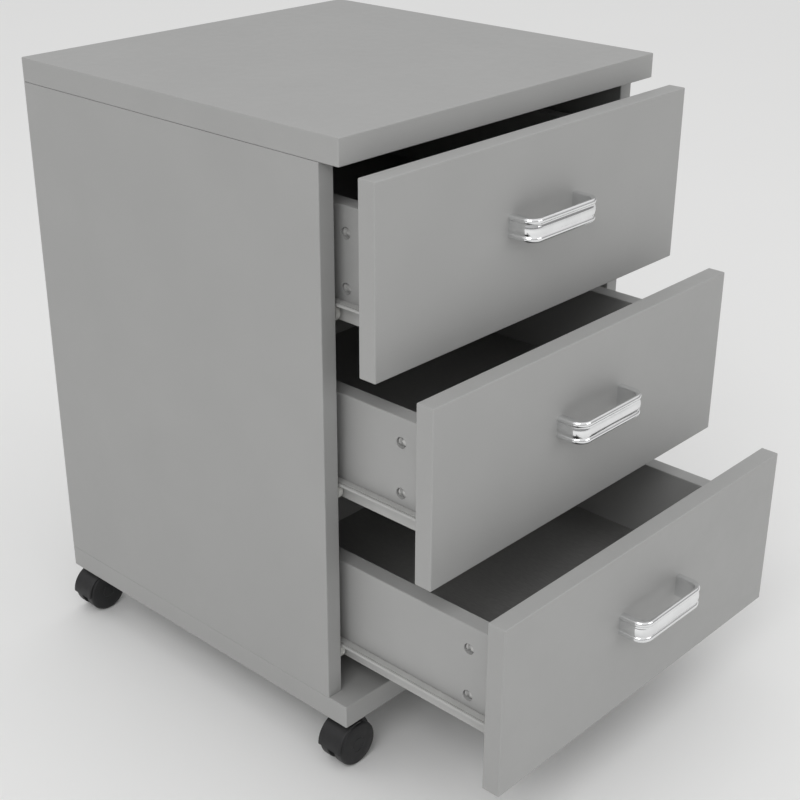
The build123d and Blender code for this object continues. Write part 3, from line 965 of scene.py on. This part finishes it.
@dataclass(frozen=True)
class CrossRecess:
    """A driver's cross, sunk in a flat face."""

    length: float
    width: float
    depth: float
    proud: float = 0.3 * MM
    neck: float = 0.35
    neck_share: float = 0.96
    floor_share: float = 0.45

    def cutter(self, centre: Vector, direction: Direction, sign: int) -> bpy.types.Mesh:
        """A tapering cross to cut with.

        Args:
            centre: middle of the cross on the face.
            direction: the way that the face looks, as an axis.
            sign: its sign.

        Returns:
            The cutter, which stands a little out of the face.
        """
        half = self.length / 2
        arm = self.width / 2
        outline = []
        for turn in range(4):
            for across, along in ((arm, arm), (half, arm), (half, -arm)):
                angle = math.radians(-90.0 * turn)
                outline.append((
                    across * math.cos(angle) - along * math.sin(angle),
                    across * math.sin(angle) + along * math.cos(angle),
                ))
        levels = (
            (self.proud, 1.0),
            (-self.depth * self.neck, self.neck_share),
            (-self.depth, self.floor_share),
        )
        rings = []
        for level, share in levels:
            rings.append([direction.point(centre, sign * level, u * share, v * share) for u, v in outline])
        return Shell.lofted("cross", rings)


@dataclass(frozen=True)
class Screw:
    """A screw with a low domed head, a cross recess and a threaded shank.

    The head's thickness and rounding and the cross's length, width and depth are shares of its radius.
    """

    solid: Solid
    dome: float = 0.25
    pitch: float = 1.6 * MM
    thread: float = 0.3 * MM
    thickness: float = 0.42
    rounding: float = 0.22
    cross: tuple[float, float, float] = (1.15, 0.26, 0.34)
    neck: float = 0.3 * MM
    plain: float = 2.0 * MM

    def mesh(self) -> bpy.types.Mesh:
        """The screw's mesh, on the place of its solid.

        Returns:
            The mesh.
        """
        axis = self.solid.long_axis
        head_low = self.solid.radius_low > self.solid.radius_high
        head_r = max(self.solid.radius_low, self.solid.radius_high)
        core_r = min(self.solid.radius_low, self.solid.radius_high)
        sign = 1 if head_low else -1
        start = self.solid.end(axis, -sign)
        length = self.solid.size[axis.value]
        head_t = self.thickness * head_r
        edge = self.rounding * head_r
        profile = [(0.0, 0.0), (head_r - edge, self.dome * edge)]
        profile += arc((head_r - edge, self.dome * edge + edge), edge, -90.0, 0.0, 4)
        profile += [(head_r, head_t), (core_r, head_t + self.neck)]
        along = head_t + self.plain
        while along + self.pitch < length - 2 * core_r:
            profile += [(core_r - self.thread, along), (core_r, along + self.pitch / 2)]
            along += self.pitch
        profile += [(core_r - self.thread, length - 1.5 * core_r), (0.0, length)]
        screw = Shell.turned("screw", profile, start, axis, sign, turns=24)
        cross = CrossRecess(*(share * head_r for share in self.cross))
        return carved(screw, [cross.cutter(start, axis, -sign)])


def screws_of(node: str) -> bpy.types.Mesh:
    """Every screw of a node, as one mesh."""
    return merged(node, [Screw(solid).mesh() for solid in solids_of(node)])


@dataclass(frozen=True)
class CamFitting:
    """A cam housing with a rounded rim and a cross recess."""

    solid: Solid
    play: float = 0.15 * MM
    rim: float = 0.5 * MM
    recess: float = 0.85
    arm: float = 0.18
    sunk: float = 0.55 * MM

    def mesh(self) -> bpy.types.Mesh:
        """The housing's mesh, with its recess towards the carcass.

        Returns:
            The mesh.
        """
        radius = self.solid.size.z / 2 - self.play
        depth = self.solid.size.x
        hand = Hand.at(self.solid.middle.x).value
        face = self.solid.end(Direction.X, hand)
        profile = [(0.0, 0.0)] + arc((radius - self.rim, self.rim), self.rim, -90.0, 0.0, 4)
        profile += [(radius, depth - self.rim), (radius - self.rim, depth), (0.0, depth)]
        cam = Shell.turned("cam", profile, face, Direction.X, -hand, turns=48)
        cross = CrossRecess(self.recess * radius, self.arm * radius, self.sunk)
        return carved(cam, [cross.cutter(face, Direction.X, hand)])


@dataclass(frozen=True)
class CamBolt:
    """The bolt between a cam and a front: a ball end, a waist and a thread."""

    solid: Solid
    thread: float = 0.4 * MM
    pitch: float = 1.3 * MM
    ridges: int = 8

    def mesh(self) -> bpy.types.Mesh:
        """The bolt's mesh along Y.

        Returns:
            The mesh.
        """
        radius = self.solid.size.z / 2
        length = self.solid.size.y
        start = self.solid.end(Direction.Y, -1)
        profile = [(0.0, 0.0), (radius - self.thread, 0.0)]
        for step in range(self.ridges):
            base = step * self.pitch
            profile += [(radius, base + self.pitch / 2), (radius - self.thread, base + self.pitch)]
        profile += [(radius - 0.3 * MM, length - 5.5 * MM), (0.6 * radius, length - 4.8 * MM)]
        profile += [(0.6 * radius, length - 3.4 * MM), (radius - 0.1 * MM, length - 2.4 * MM)]
        profile += [(radius - 0.1 * MM, length - 1.0 * MM), (0.5 * radius, length), (0.0, length)]
        return Shell.turned("bolt", profile, start, Direction.Y, 1, turns=20)


EDGE_HEEL = 1.0 - math.cos(math.radians(45.0))


@dataclass(frozen=True)
class BowHandle:
    """A cast bow: a grooved band bent round two corners into two thicker legs."""

    low: Vector
    high: Vector
    band: float = 3.6 * MM
    leg: float = 7.0 * MM
    corner: float = 13.0 * MM
    inner_corner: float = 7.5 * MM
    groove_at: float = 5.0 * MM
    rib_drop: float = 1.10 * MM
    rib_roundness: float = 2.0
    rib_steps: int = 10
    groove_floor: float = 0.30 * MM
    edge: float = 0.6 * MM
    inner_edge: float = 0.7 * MM
    corner_steps: int = 20
    straight_steps: int = 6
    leg_steps: int = 3
    edge_steps: int = 3

    def outline(self, inset_x: float, grip_y: float, radius: float) -> list[Point]:
        """One U-shaped line of the bow seen from above, from the left leg's foot to the right one's.

        Args:
            inset_x: how far the line is inside the handle's ends.
            grip_y: the line's Y along the grip.
            radius: of its two corners.

        Returns:
            Its points.
        """
        half = (self.high.x - self.low.x) / 2 - inset_x
        middle = (self.high.x + self.low.x) / 2
        foot = self.high.y
        rise = grip_y + radius - foot
        left = [(middle - half, foot + rise * k / self.leg_steps) for k in range(self.leg_steps)]
        turn = arc((middle - half + radius, grip_y + radius), radius, 180.0, 270.0, self.corner_steps)
        grip_half = half - radius
        grip = []
        for k in range(1, self.straight_steps):
            grip.append((middle - grip_half + 2 * grip_half * k / self.straight_steps, grip_y))
        near = left + turn
        mirrored = [(2 * middle - x, y) for x, y in reversed(near)]
        return near + grip + mirrored

    def rib(self, start: float, end: float) -> list[tuple[bool, float, float]]:
        """One convex rib across the band, as section points.

        Args:
            start: height where it begins.
            end: height where it ends.

        Returns:
            The points from its start to its end.
        """
        points = []
        for step in range(self.rib_steps + 1):
            share = 2 * step / self.rib_steps - 1
            z = start + (end - start) * step / self.rib_steps
            points.append((True, self.rib_drop * abs(share) ** self.rib_roundness, z))
        return points

    def section(self) -> list[tuple[bool, float, float]]:
        """The band's section: (on the outer face, depth below that face, height) points.

        Returns:
            The points in order round the section.
        """
        height = self.high.z - self.low.z
        points: list[tuple[bool, float, float]] = []
        shoulder = self.rib_drop + self.edge
        half_floor = self.groove_floor / 2
        heel = self.edge * EDGE_HEEL
        for z, d in arc((self.edge, shoulder), self.edge, 180.0, 225.0, self.edge_steps)[:-1]:
            points.append((True, d, z))
        borders = (heel, self.groove_at, height - self.groove_at, height - heel)
        for start, end in zip(borders, borders[1:]):
            points += self.rib(start + half_floor, end - half_floor)
        for z, d in arc((height - self.edge, shoulder), self.edge, 315.0, 360.0, self.edge_steps)[1:]:
            points.append((True, d, z))
        inner = self.inner_edge
        for z, d in arc((height - inner, inner), inner, 0.0, -90.0, self.edge_steps):
            points.append((False, d, z))
        for z, d in arc((inner, inner), inner, 270.0, 180.0, self.edge_steps):
            points.append((False, d, z))
        return points

    def mesh(self, name: str) -> bpy.types.Mesh:
        """The whole bow.

        Args:
            name: the mesh's name.

        Returns:
            The mesh.
        """
        outer = self.outline(0.0, self.low.y, self.corner)
        inner = self.outline(self.leg, self.low.y + self.band, self.inner_corner)
        section = self.section()
        rings = []
        for out, back in zip(outer, inner):
            inward = (Vector(back) - Vector(out)).normalized()
            ring = []
            for on_face, depth, z in section:
                spot = Vector(out) + inward * depth if on_face else Vector(back) - inward * depth
                ring.append(Vector((spot.x, spot.y, self.low.z + z)))
            rings.append(ring)
        return Shell.lofted(name, rings)


@dataclass(frozen=True)
class Roller:
    """A nylon roller: a crowned tread, a dished face with a hub, and a running bore."""

    solid: Solid
    bore: float = 2.05 * MM
    edge: float = 0.6 * MM
    rim: float = 2.0 * MM
    hub: float = 1.9 * MM
    dish: float = 0.8 * MM
    fine: float = 0.3 * MM

    def mesh(self) -> bpy.types.Mesh:
        """The roller's mesh along X.

        Returns:
            The mesh.
        """
        radius = self.solid.size.z / 2
        width = self.solid.size.x
        start = self.solid.end(Direction.X, -1)
        hub = self.bore + self.hub
        rim = radius - self.rim
        near = [
            (self.bore, 0.0), (hub - self.fine, 0.0), (hub, self.fine), (hub + self.fine, self.dish),
            (rim - self.fine, self.dish), (rim, 0.0),
        ]
        near += arc((radius - self.edge, self.edge), self.edge, -90.0, 0.0, 4)
        far = [(r, width - along) for r, along in reversed(near)]
        return Shell.turned("roller", near + far, start, Direction.X, 1)


@dataclass(frozen=True)
class Pin:
    """A riveted pin: a plain shank with a domed end."""

    radius: float = 2.0 * MM
    dome: float = 0.5 * MM
    dome_angles: tuple[float, ...] = (0.4, 0.8, 1.2)

    def mesh(self, centre: Vector, sign: int, length: float) -> bpy.types.Mesh:
        """The pin's mesh along X.

        Args:
            centre: middle of its root.
            sign: the way that it points.
            length: from root to tip.

        Returns:
            The mesh.
        """
        flat = length - self.dome
        profile = [(0.0, 0.0), (self.radius, 0.0), (self.radius, flat)]
        for angle in self.dome_angles:
            profile.append((self.radius * math.cos(angle), flat + self.dome * math.sin(angle)))
        profile.append((0.0, length))
        return Shell.turned("pin", profile, centre, Direction.X, sign, turns=24)


@dataclass(frozen=True)
class FoldedRail:
    """Folded steel strip that both members of a runner are made of."""

    steel: float = 1.2 * MM
    bend: float = 0.65 * MM

    def extruded(self, path: Sequence[Point], start: float, end: float) -> bpy.types.Mesh:
        """A straight rail of one section.

        Args:
            path: corners of the section's middle line, as (x, z).
            start: its first Y.
            end: its last Y.

        Returns:
            The mesh.
        """
        outline = folded(path, self.steel, self.bend)
        return Shell.lofted("rail", [[Vector((x, y, z)) for x, z in outline] for y in (start, end)])


@dataclass(frozen=True)
class DrawerMember(FoldedRail):
    """The member on a drawer: a foot under the box side, a web and a lipped flange."""

    foot: float = 10.0 * MM
    flange: float = 9.8 * MM
    lip: float = 2.0 * MM
    roller_room: float = 22.0 * MM
    bead: float = 1.2 * MM
    groove: float = 1.7 * MM
    groove_depth: float = 0.9 * MM
    screw_holes: float = 60.0 * MM
    hole_radius: float = 1.9 * MM
    hole_depth: float = 4.0 * MM

    def mesh(self, solid: Solid, wall: float, hand: Hand, axle: Vector) -> bpy.types.Mesh:
        """One member with its roller's pin.

        Args:
            solid: the member's solid.
            wall: X of the box side's outer face.
            hand: which side it is on.
            axle: middle of the rear roller.

        Returns:
            The mesh.
        """
        side = hand.value
        half = self.steel / 2
        low = solid.low.z + half
        high = solid.high.z - half
        lip_x = wall + side * (self.flange - half)
        path = [
            (wall - side * self.foot, low), (wall + side * half, low), (wall + side * half, high),
            (lip_x, high), (lip_x, solid.high.z - self.lip),
        ]
        rail = self.extruded(path, solid.low.y, solid.high.y)
        y_room = solid.high.y - self.roller_room
        room = sorted((wall + side * self.steel, wall + side * (self.flange + MM)))
        past_y = solid.high.y + MM
        past_z = solid.high.z + MM
        groove_edge = self.flange - self.bead
        groove = sorted(wall + side * (groove_edge - share * self.groove) for share in (0.0, 1.0))
        cutters = [
            box_mesh(room, (y_room, past_y), (high - self.lip, past_z)),
            box_mesh(groove, (solid.low.y - MM, past_y), (solid.high.z - self.groove_depth, past_z)),
        ]
        radius = self.hole_radius
        hole = [(0.0, 0.0), (radius, 0.0), (radius, self.hole_depth), (0.0, self.hole_depth)]
        for y in (solid.low.y + self.screw_holes, solid.high.y - self.screw_holes):
            spot = Vector((wall - side * self.foot / 2, y, solid.low.z - MM))
            cutters.append(Shell.turned("hole", hole, spot, Direction.Z, 1, turns=20))
        tip = solid.end(Direction.X, side).x
        pin = Pin().mesh(Vector((wall + side * half, axle.y, axle.z)), side, abs(tip - wall) - half)
        return merged("member", [carved(rail, cutters), pin])


@dataclass(frozen=True)
class CabinetMember(FoldedRail):
    """The member on the carcass: a channel, cut back at the front to clear the guide roller."""

    reach: float = 9.3 * MM
    front_room: float = 21.0 * MM

    def mesh(self, solid: Solid, wall: float, hand: Hand, axle: Vector) -> bpy.types.Mesh:
        """One channel with its guide roller's pin.

        Args:
            solid: the channel's solid.
            wall: X of the side board's inner face.
            hand: which side it is on.
            axle: middle of the guide roller.

        Returns:
            The mesh.
        """
        side = hand.value
        half = self.steel / 2
        low = solid.low.z + half
        high = solid.high.z - half
        web = wall - side * half
        edge = wall - side * self.reach
        path = [(edge, low), (web, low), (web, high), (edge, high)]
        rail = self.extruded(path, solid.low.y, solid.high.y)
        room = sorted((edge - side * MM, wall - side * self.steel))
        y_room = solid.low.y + self.front_room
        cutter = box_mesh(room, (solid.low.y - MM, y_room), (solid.low.z - MM, solid.high.z + MM))
        tip = solid.end(Direction.X, -side).x
        pin = Pin().mesh(Vector((web, axle.y, axle.z)), -side, abs(tip - wall) - half)
        return merged("channel", [carved(rail, [cutter]), pin])


@dataclass
class Drawer(Assembly):
    """One drawer: front, handle, box, cams and screws, and the members and rollers that it runs on."""

    place: DrawerPlace

    @property
    def name(self) -> str:
        """What its nodes' names begin with."""
        return self.place.value

    def wall(self, hand: Hand) -> float:
        """X of the outer face of the box side on one hand."""
        low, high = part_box(f"{self.name}_{hand.name.lower()}_side")
        return high.x if hand is Hand.RIGHT else low.x

    def build_boards(self) -> None:
        """Dress the front, the box and its bottom."""
        self.keep(f"{self.name}_front", GREY_BOARD)
        for word in ("left_side", "right_side", "back"):
            self.keep(f"{self.name}_{word}", BOX_BOARD)
        self.keep(f"{self.name}_bottom", BOTTOM_BOARD)

    def build_handle(self) -> None:
        """Make the bow handle."""
        node = f"{self.name}_handle"
        low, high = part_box(node)
        self.fit(f"{self.name}_bow_handle", BowHandle(low, high).mesh(node), CHROME, node)

    def build_fixings(self) -> None:
        """Make the cams, their bolts and every screw."""
        node = f"{self.name}_front_cams"
        meshes = []
        for solid in solids_of(node):
            kind = CamBolt if solid.long_axis is Direction.Y else CamFitting
            meshes.append(kind(solid).mesh())
        self.fit(f"{self.name}_cams", merged(node, meshes), CAST_ZINC, node)
        node = f"{self.name}_screws"
        self.fit(f"{self.name}_cross_screws", screws_of(node), SCREW_ZINC, node)

    def build_runners(self) -> None:
        """Make the two drawer members, their rear rollers and the carcass's guide rollers."""
        node = f"{self.name}_runners"
        rear = solids_of(f"{self.name}_rear_rollers")
        meshes = []
        for hand, solid, roller in zip(Hand, solids_of(node), rear):
            meshes.append(DrawerMember().mesh(solid, self.wall(hand), hand, roller.middle))
        self.fit(f"{self.name}_runner_members", merged(node, meshes), RUNNER_ENAMEL, node)
        for kind in ("rear_rollers", "guide_rollers"):
            node = f"{self.name}_{kind}"
            rollers = merged(node, [Roller(solid).mesh() for solid in solids_of(node)])
            Assembly(node).fit(f"{self.name}_{kind}_pair", rollers, ROLLER_NYLON, node)

    def build(self) -> None:
        """Build and dress the whole drawer."""
        self.build_boards()
        self.build_handle()
        self.build_fixings()
        self.build_runners()


@dataclass
class Carcass(Assembly):
    """The boards, their hidden fittings, the cabinet members of the runners and the casters' sockets."""

    def build_boards(self) -> None:
        """Dress the five boards and what holds them together."""
        for node in ("top_panel", "bottom_panel", "left_side_panel", "right_side_panel", "back_panel"):
            self.keep(node, GREY_BOARD)
        self.keep("carcass_dowels", DOWEL_BEECH)
        self.keep("top_cam_fittings", CAST_ZINC)
        self.keep("caster_stems", AXLE_STEEL)
        self.keep("caster_sockets", SOCKET_NYLON)

    def build_screws(self) -> None:
        """Make the long base screws and the runner screws."""
        node = "carcass_screws"
        self.fit("carcass_cross_screws", screws_of(node), SCREW_ZINC, node)

    def build_channels(self) -> None:
        """Make the six channels that the drawers' rear rollers run in."""
        node = "cabinet_runners"
        axles = {hand: [] for hand in Hand}
        for place in DrawerPlace:
            for hand, roller in zip(Hand, solids_of(f"{place.value}_guide_rollers")):
                axles[hand].append(roller.middle)
        meshes = []
        for solid in solids_of(node):
            hand = Hand.at(solid.middle.x)
            wall = solid.end(Direction.X, hand.value).x
            axle = min(axles[hand], key=lambda a: abs(a.z - solid.middle.z))
            meshes.append(CabinetMember().mesh(solid, wall, hand, axle))
        self.fit("cabinet_members", merged(node, meshes), RUNNER_ENAMEL, node)

    def build(self) -> None:
        """Build and dress the whole carcass."""
        self.build_boards()
        self.build_screws()
        self.build_channels()


@dataclass(frozen=True)
class CasterWheel:
    """A moulded wheel: rounded shoulder, nearly flat face with a fine ring, and a hollow inner face."""

    low: Vector
    high: Vector
    outward: int
    bore: float = 2.56 * MM
    bore_depth: float = 7.3 * MM
    chamfer: float = 0.9 * MM
    shoulder: float = 2.6 * MM
    crown: float = 0.35 * MM
    ring: float = 6.6 * MM
    hollow: float = 2.4 * MM
    rim: float = 3.4 * MM
    hub: float = 2.2 * MM
    fine: float = 0.4 * MM

    def profile(self) -> list[Point]:
        """Half section of the wheel from its bore to the middle of its outer face.

        Returns:
            (radius, distance outwards) points.
        """
        radius = (self.high.z - self.low.z) / 2
        width = self.high.y - self.low.y
        rim = radius - self.rim
        hub = self.bore + self.hub
        fine = self.fine
        points = [(self.bore, 0.0), (hub - fine, 0.0), (hub, fine), (hub + fine, self.hollow)]
        points += [(rim - fine, self.hollow), (rim, fine), (rim + fine, 0.0), (radius - self.chamfer, 0.0)]
        points += arc((radius - self.chamfer, self.chamfer), self.chamfer, -90.0, 0.0, 4)
        rise = width - self.crown
        points += arc((radius - self.shoulder, rise - self.shoulder), self.shoulder, 0.0, 80.0, 8)
        points += [(0.62 * radius, width - 0.4 * self.crown), (self.ring + fine, width - 0.1 * self.crown)]
        points += [(self.ring, width - self.crown), (self.ring - fine, width - 0.1 * self.crown)]
        points += [(0.4 * self.ring, width), (0.0, width)]
        points += [(0.0, self.bore_depth), (self.bore, self.bore_depth)]
        return points

    def mesh(self, name: str) -> bpy.types.Mesh:
        """The wheel's mesh.

        Args:
            name: the mesh's name.

        Returns:
            The mesh.
        """
        centre = (self.low + self.high) / 2
        centre.y = self.low.y if self.outward > 0 else self.high.y
        return Shell.turned(name, self.profile(), centre, Direction.Y, self.outward, turns=96)


@dataclass
class Caster(Assembly):
    """A twin-wheel swivel caster."""

    place: CasterPlace

    def build(self) -> None:
        """Dress the hood and the axle, and make the two wheels."""
        name = self.place.value
        self.keep(f"{name}_hood", HOOD_NYLON)
        self.keep(f"{name}_axle", AXLE_STEEL)
        for word, outward in (("front_wheel", -1), ("rear_wheel", 1)):
            node = f"{name}_{word}"
            low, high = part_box(node)
            mesh = CasterWheel(low, high, outward).mesh(node)
            Assembly(node).fit(f"{node}_moulding", mesh, WHEEL_NYLON, node)


# ----------------------------------------
# Studio
# ----------------------------------------


@dataclass(frozen=True)
class SoftBox:
    """A soft light, aimed at a point."""

    name: str
    place: tuple[float, float, float]
    width: float
    height: float
    power: float

    def light(self, target: Vector) -> None:
        """Hang the light.

        Args:
            target: the point that it is aimed at.
        """
        lamp = bpy.data.lights.new(self.name, "AREA")
        lamp.shape = "RECTANGLE"
        lamp.size = self.width
        lamp.size_y = self.height
        lamp.energy = self.power
        holder = bpy.data.objects.new(self.name, lamp)
        holder.location = self.place
        holder.rotation_euler = (target - Vector(self.place)).to_track_quat("-Z", "Y").to_euler()
        bpy.context.scene.collection.objects.link(holder)


@dataclass(frozen=True)
class Studio:
    """A pale floor, surroundings that darken towards the horizon, soft lights and the camera."""

    eye: tuple[float, float, float] = (-0.9206, -0.9268, 0.8485)
    azimuth: float = 46.61
    dip: float = 25.63
    lens: float = 65.36
    shift: tuple[float, float] = (0.0184, 0.0130)
    floor_size: float = 200.0
    floor_colour: tuple[float, float, float] = (0.88, 0.88, 0.875)
    floor_shade: float = 0.985
    floor_cloud: float = 0.6
    floor_roughness: float = 0.8
    near_clip: float = 0.05
    zenith: float = 0.85
    horizon: float = 0.24
    dark_below: float = -0.02
    bright_above: float = 0.58
    boxes: tuple[SoftBox, ...] = (
        SoftBox("key_light", (-2.2, -1.2, 2.4), 1.5, 1.5, 22.0),
        SoftBox("front_light", (0.9, -3.0, 1.5), 1.8, 1.2, 9.0),
    )

    def build_floor(self) -> None:
        """Lay the floor: matt, pale, and very slightly uneven."""
        half = self.floor_size / 2
        shell = Shell()
        corners = [(-half, -half), (half, -half), (half, half), (-half, half)]
        shell.points = [Vector((x, y, 0.0)) for x, y in corners]
        shell.faces = [(0, 1, 2, 3)]
        floor = bpy.data.objects.new("studio_floor", shell.mesh("studio_floor"))
        bpy.context.scene.collection.objects.link(floor)
        sheet = NodeSheet("studio_floor")
        shadow = [value * self.floor_shade for value in self.floor_colour]
        tone = sheet.blend(sheet.noise(self.floor_cloud, 3.0), shadow, self.floor_colour)
        sheet.feed("Base Color", tone)
        sheet.settle(Roughness=self.floor_roughness)
        floor.data.materials.append(sheet.material)
        floor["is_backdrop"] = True

    def build_surroundings(self) -> None:
        """Surround the studio with soft white that darkens towards the horizon."""
        world = bpy.data.worlds.new("studio")
        world.use_nodes = True
        tree = world.node_tree
        background = tree.nodes["Background"]
        background.inputs["Color"].default_value = (1.0, 1.0, 1.0, 1.0)
        split = tree.nodes.new("ShaderNodeSeparateXYZ")
        place = tree.nodes.new("ShaderNodeTexCoord").outputs["Generated"]
        tree.links.new(place, split.inputs["Vector"])
        height = tree.nodes.new("ShaderNodeMapRange")
        height.interpolation_type = "SMOOTHSTEP"
        ends = {
            "From Min": self.dark_below,
            "From Max": self.bright_above,
            "To Min": self.horizon,
            "To Max": self.zenith,
        }
        for name, value in ends.items():
            height.inputs[name].default_value = value
        tree.links.new(split.outputs["Z"], height.inputs["Value"])
        tree.links.new(height.outputs["Result"], background.inputs["Strength"])
        bpy.context.scene.world = world

    def build_camera(self) -> None:
        """Set the camera up."""
        lens = bpy.data.cameras.new("studio_camera")
        lens.lens = self.lens
        lens.shift_x, lens.shift_y = self.shift
        lens.clip_start = self.near_clip
        camera = bpy.data.objects.new("studio_camera", lens)
        camera.location = self.eye
        tilt = math.radians(90.0 - self.dip)
        camera.rotation_euler = Euler((tilt, 0.0, math.radians(-self.azimuth)), "XYZ")
        bpy.context.scene.collection.objects.link(camera)
        bpy.context.scene.camera = camera

    def build(self) -> None:
        """Build the whole studio round the cabinet."""
        low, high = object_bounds()
        self.build_floor()
        self.build_surroundings()
        for box in self.boxes:
            box.light((low + high) / 2)
        self.build_camera()
        bpy.context.scene.view_settings.view_transform = "Standard"


def main() -> None:
    """Build the cabinet and its studio."""
    logging.basicConfig(level=logging.INFO, format="%(name)s: %(message)s")
    frame_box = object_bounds()
    Carcass("carcass").build()
    for place in DrawerPlace:
        Drawer(place.value, place).build()
    for place in CasterPlace:
        Caster(f"{place.value}_hood", place).build()
    Studio().build()
    boxes = {"frame": frame_box, "finished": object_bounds()}
    {name: [list(corner) for corner in pair] for name, pair in boxes.items()}


if __name__ == "__main__":
    main()
